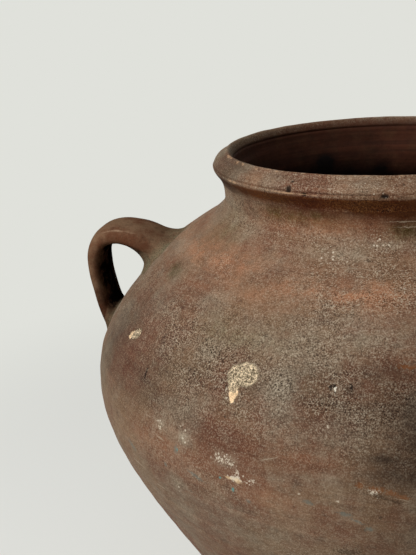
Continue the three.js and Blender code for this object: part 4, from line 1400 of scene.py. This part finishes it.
def on_wall(places, out=0.0):
    """Places moved level onto the jar's outer skin, or out of it by a distance."""
    wider = (radius_at(places[..., 2]) + out) / from_axis(places)
    return places * np.stack([wider, wider, np.ones_like(wider)], -1)


def lute_rings(towards_end):
    """Rings of a fillet round one end of the strap: off the strap, into the corner, and out on the wall."""
    samples_per_metre = (STRAP_SAMPLES - 1) / strap_length
    back = -1.0 if towards_end else 1.0
    root = along(centre_line, crossing(centre_line, 0.0, towards_end))
    share = np.linspace(0.0, 1.0, LUTE_ROWS)[:, None]
    rings = []
    for side, line in enumerate(lines):
        hit = crossing(line, 0.0, towards_end)
        corner = along(line, hit)
        uneven = 1.0 + LUTE_UNEVEN * noise.noise(Vector(corner / LUTE_UNEVEN_SPAN))
        uneven *= 1.0 + (LUTE_UNDER - 1.0) * finger_side[side] * (not towards_end)
        up_strap = hit + back * LUTE_ON_STRAP * uneven * samples_per_metre
        strap_point = along(line, up_strap)
        middle = along(centre_line, up_strap)
        strap_point += (middle - strap_point) * LUTE_SUNK / np.linalg.norm(middle - strap_point)
        level = np.array([corner[0], corner[1], 0.0])
        level /= np.linalg.norm(level)
        spread = corner - root
        spread -= level * (spread @ level)
        spread /= np.linalg.norm(spread)
        wall_point = on_wall(corner + spread * LUTE_ON_WALL * uneven, -LUTE_SUNK)
        face = bend(share, strap_point, corner, wall_point)
        inward = corner - level * LUTE_BURIED + (root - corner) * LUTE_BACK
        behind = (wall_point - level * LUTE_BURIED, inward, strap_point + (inward - corner))
        rings.append(np.vstack([face, *behind]))
    return np.stack(rings, 1)


lute_smear = np.concatenate([np.linspace(0.0, LUTE_SMEAR, LUTE_ROWS), [LUTE_SMEAR, LUTE_SMEAR, 0.0]])
lute_grime_and_shade = LUTE_FINGER_SHADE * np.outer(ramp(lute_smear, *FINGER_SMEAR), finger_side)
lute_grime_and_shade += LUTE_GRIME * ramp(lute_smear, *OTHER_SMEAR)[:, None]
for hand in ("left", "right"):
    for end, at_end, least_shade_and_grime in (("upper", False, 0.0), ("lower", True, LOWER_LUTE_SHADE_AND_GRIME)):
        name = hand + "_" + end + "_lute"
        lute = skin_mesh("clay_" + name, turned_round(lute_rings(at_end), hand), handle_clay, False)
        mark(lute, "smear", np.repeat(lute_smear, STRAP_SIDES))
        mark(lute, "grime_and_shade", np.maximum(lute_grime_and_shade, least_shade_and_grime).ravel())
        lumpy(lute, STRAP_LUMP, STRAP_LUMP_SPAN)
        settle(lute, name)


# Studio
# A pale floor that runs out to a pale room, one broad soft lamp in front and to the left above, and the
# camera in front of the jar, looking a little down on its shoulder and into its mouth.
BACKDROP = "#e0e1db"
PAPER = "#fafaf6"
FLOOR_RADIUS = 8.0
FLOOR_SIDES = 96
FLOOR_SHADOW = 0.45
FLOOR_FADE = 0.45
ROOM_LIGHT = 0.22
LAMP_PLACE = Vector((-1.05, -1.25, 1.72))
LAMP_AIM = Vector((0.0, 0.0, 0.25))
LAMP_SIZE = 1.1
LAMP_POWER = 38.0
FOCAL_PIXELS = 834.0
FRAME_HEIGHT_PIXELS = 555.0
SENSOR = 36.0
CAMERA_PLACE = Vector((0.0, -0.5964, 0.5113))
CAMERA_YAW = math.radians(12.703)
CAMERA_PITCH = math.radians(18.865)
CAMERA_ROLL = math.radians(-3.759)


def seen_directly(tree):
    """Where the camera looks straight at a surface, or sees it mirrored or through another."""
    rays = add(tree, "ShaderNodeLightPath", out=None)
    seen = rays["Is Camera Ray"]
    for kind in ("Is Glossy Ray", "Is Transmission Ray"):
        seen = add(tree, "ShaderNodeMath", {0: seen, 1: rays[kind]}, operation="MAXIMUM")
    return seen


def pale_studio_paper():
    """Matt white paper that runs out into the colour of the room, and keeps the jar's shadow near the jar."""
    paper, tree, place = new_skin("pale_studio_paper")
    shade = add(tree, "ShaderNodeBsdfDiffuse", {"Color": linear(PAPER)})
    glow = add(tree, "ShaderNodeEmission", {"Color": linear(BACKDROP), "Strength": 1.0})
    reach = add(tree, "ShaderNodeVectorMath", {0: place}, out="Value", operation="LENGTH")
    links = {0: reach, **span(FLOOR_FADE, 2 * FLOOR_FADE, 1.0 - FLOOR_SHADOW, 1.0)}
    even = add(tree, "ShaderNodeMapRange", links, interpolation_type="SMOOTHSTEP")
    even = add(tree, "ShaderNodeMath", {0: seen_directly(tree), 1: even}, operation="MULTIPLY")
    surface = add(tree, "ShaderNodeMixShader", {0: even, 1: shade, 2: glow})
    add(tree, "ShaderNodeOutputMaterial", {"Surface": surface}, out=None)
    return paper


def pale_room():
    """A room that lights the jar softly from all round and looks as pale as the floor."""
    world = bpy.data.worlds.new("pale_room")
    world.use_nodes = True
    tree = world.node_tree
    tree.nodes.clear()
    light = add(tree, "ShaderNodeBackground", {"Color": (1.0, 1.0, 1.0, 1.0), "Strength": ROOM_LIGHT})
    backdrop = add(tree, "ShaderNodeBackground", {"Color": linear(BACKDROP), "Strength": 1.0})
    room = add(tree, "ShaderNodeMixShader", {0: seen_directly(tree), 1: light, 2: backdrop})
    add(tree, "ShaderNodeOutputWorld", {"Surface": room}, out=None)
    return world


bpy.context.scene.world = pale_room()
floor_mesh = bpy.data.meshes.new("studio_floor")
corners = np.linspace(0.0, math.tau, FLOOR_SIDES, endpoint=False)
floor_places = [(FLOOR_RADIUS * math.cos(turn), FLOOR_RADIUS * math.sin(turn), 0.0) for turn in corners]
floor_mesh.from_pydata(floor_places, [], [tuple(range(FLOOR_SIDES))])
floor_mesh.materials.append(pale_studio_paper())
studio_floor = bpy.data.objects.new("studio_floor", floor_mesh)
bpy.context.scene.collection.objects.link(studio_floor)

lamp_data = bpy.data.lights.new("soft_lamp", "AREA")
lamp_data.energy = LAMP_POWER
lamp_data.size = LAMP_SIZE
lamp = bpy.data.objects.new("soft_lamp", lamp_data)
lamp.location = LAMP_PLACE
lamp.rotation_euler = (LAMP_AIM - LAMP_PLACE).to_track_quat("-Z", "Y").to_euler()
bpy.context.scene.collection.objects.link(lamp)

camera_data = bpy.data.cameras.new("camera")
camera_data.sensor_width = SENSOR
camera_data.lens = FOCAL_PIXELS / FRAME_HEIGHT_PIXELS * SENSOR
camera = bpy.data.objects.new("camera", camera_data)
look = Matrix.Rotation(CAMERA_YAW, 4, "Z") @ Matrix.Rotation(math.pi / 2 - CAMERA_PITCH, 4, "X")
camera.matrix_world = Matrix.Translation(CAMERA_PLACE) @ look @ Matrix.Rotation(CAMERA_ROLL, 4, "Z")
bpy.context.scene.collection.objects.link(camera)
bpy.context.scene.camera = camera
bpy.context.scene.view_settings.view_transform = "Standard"
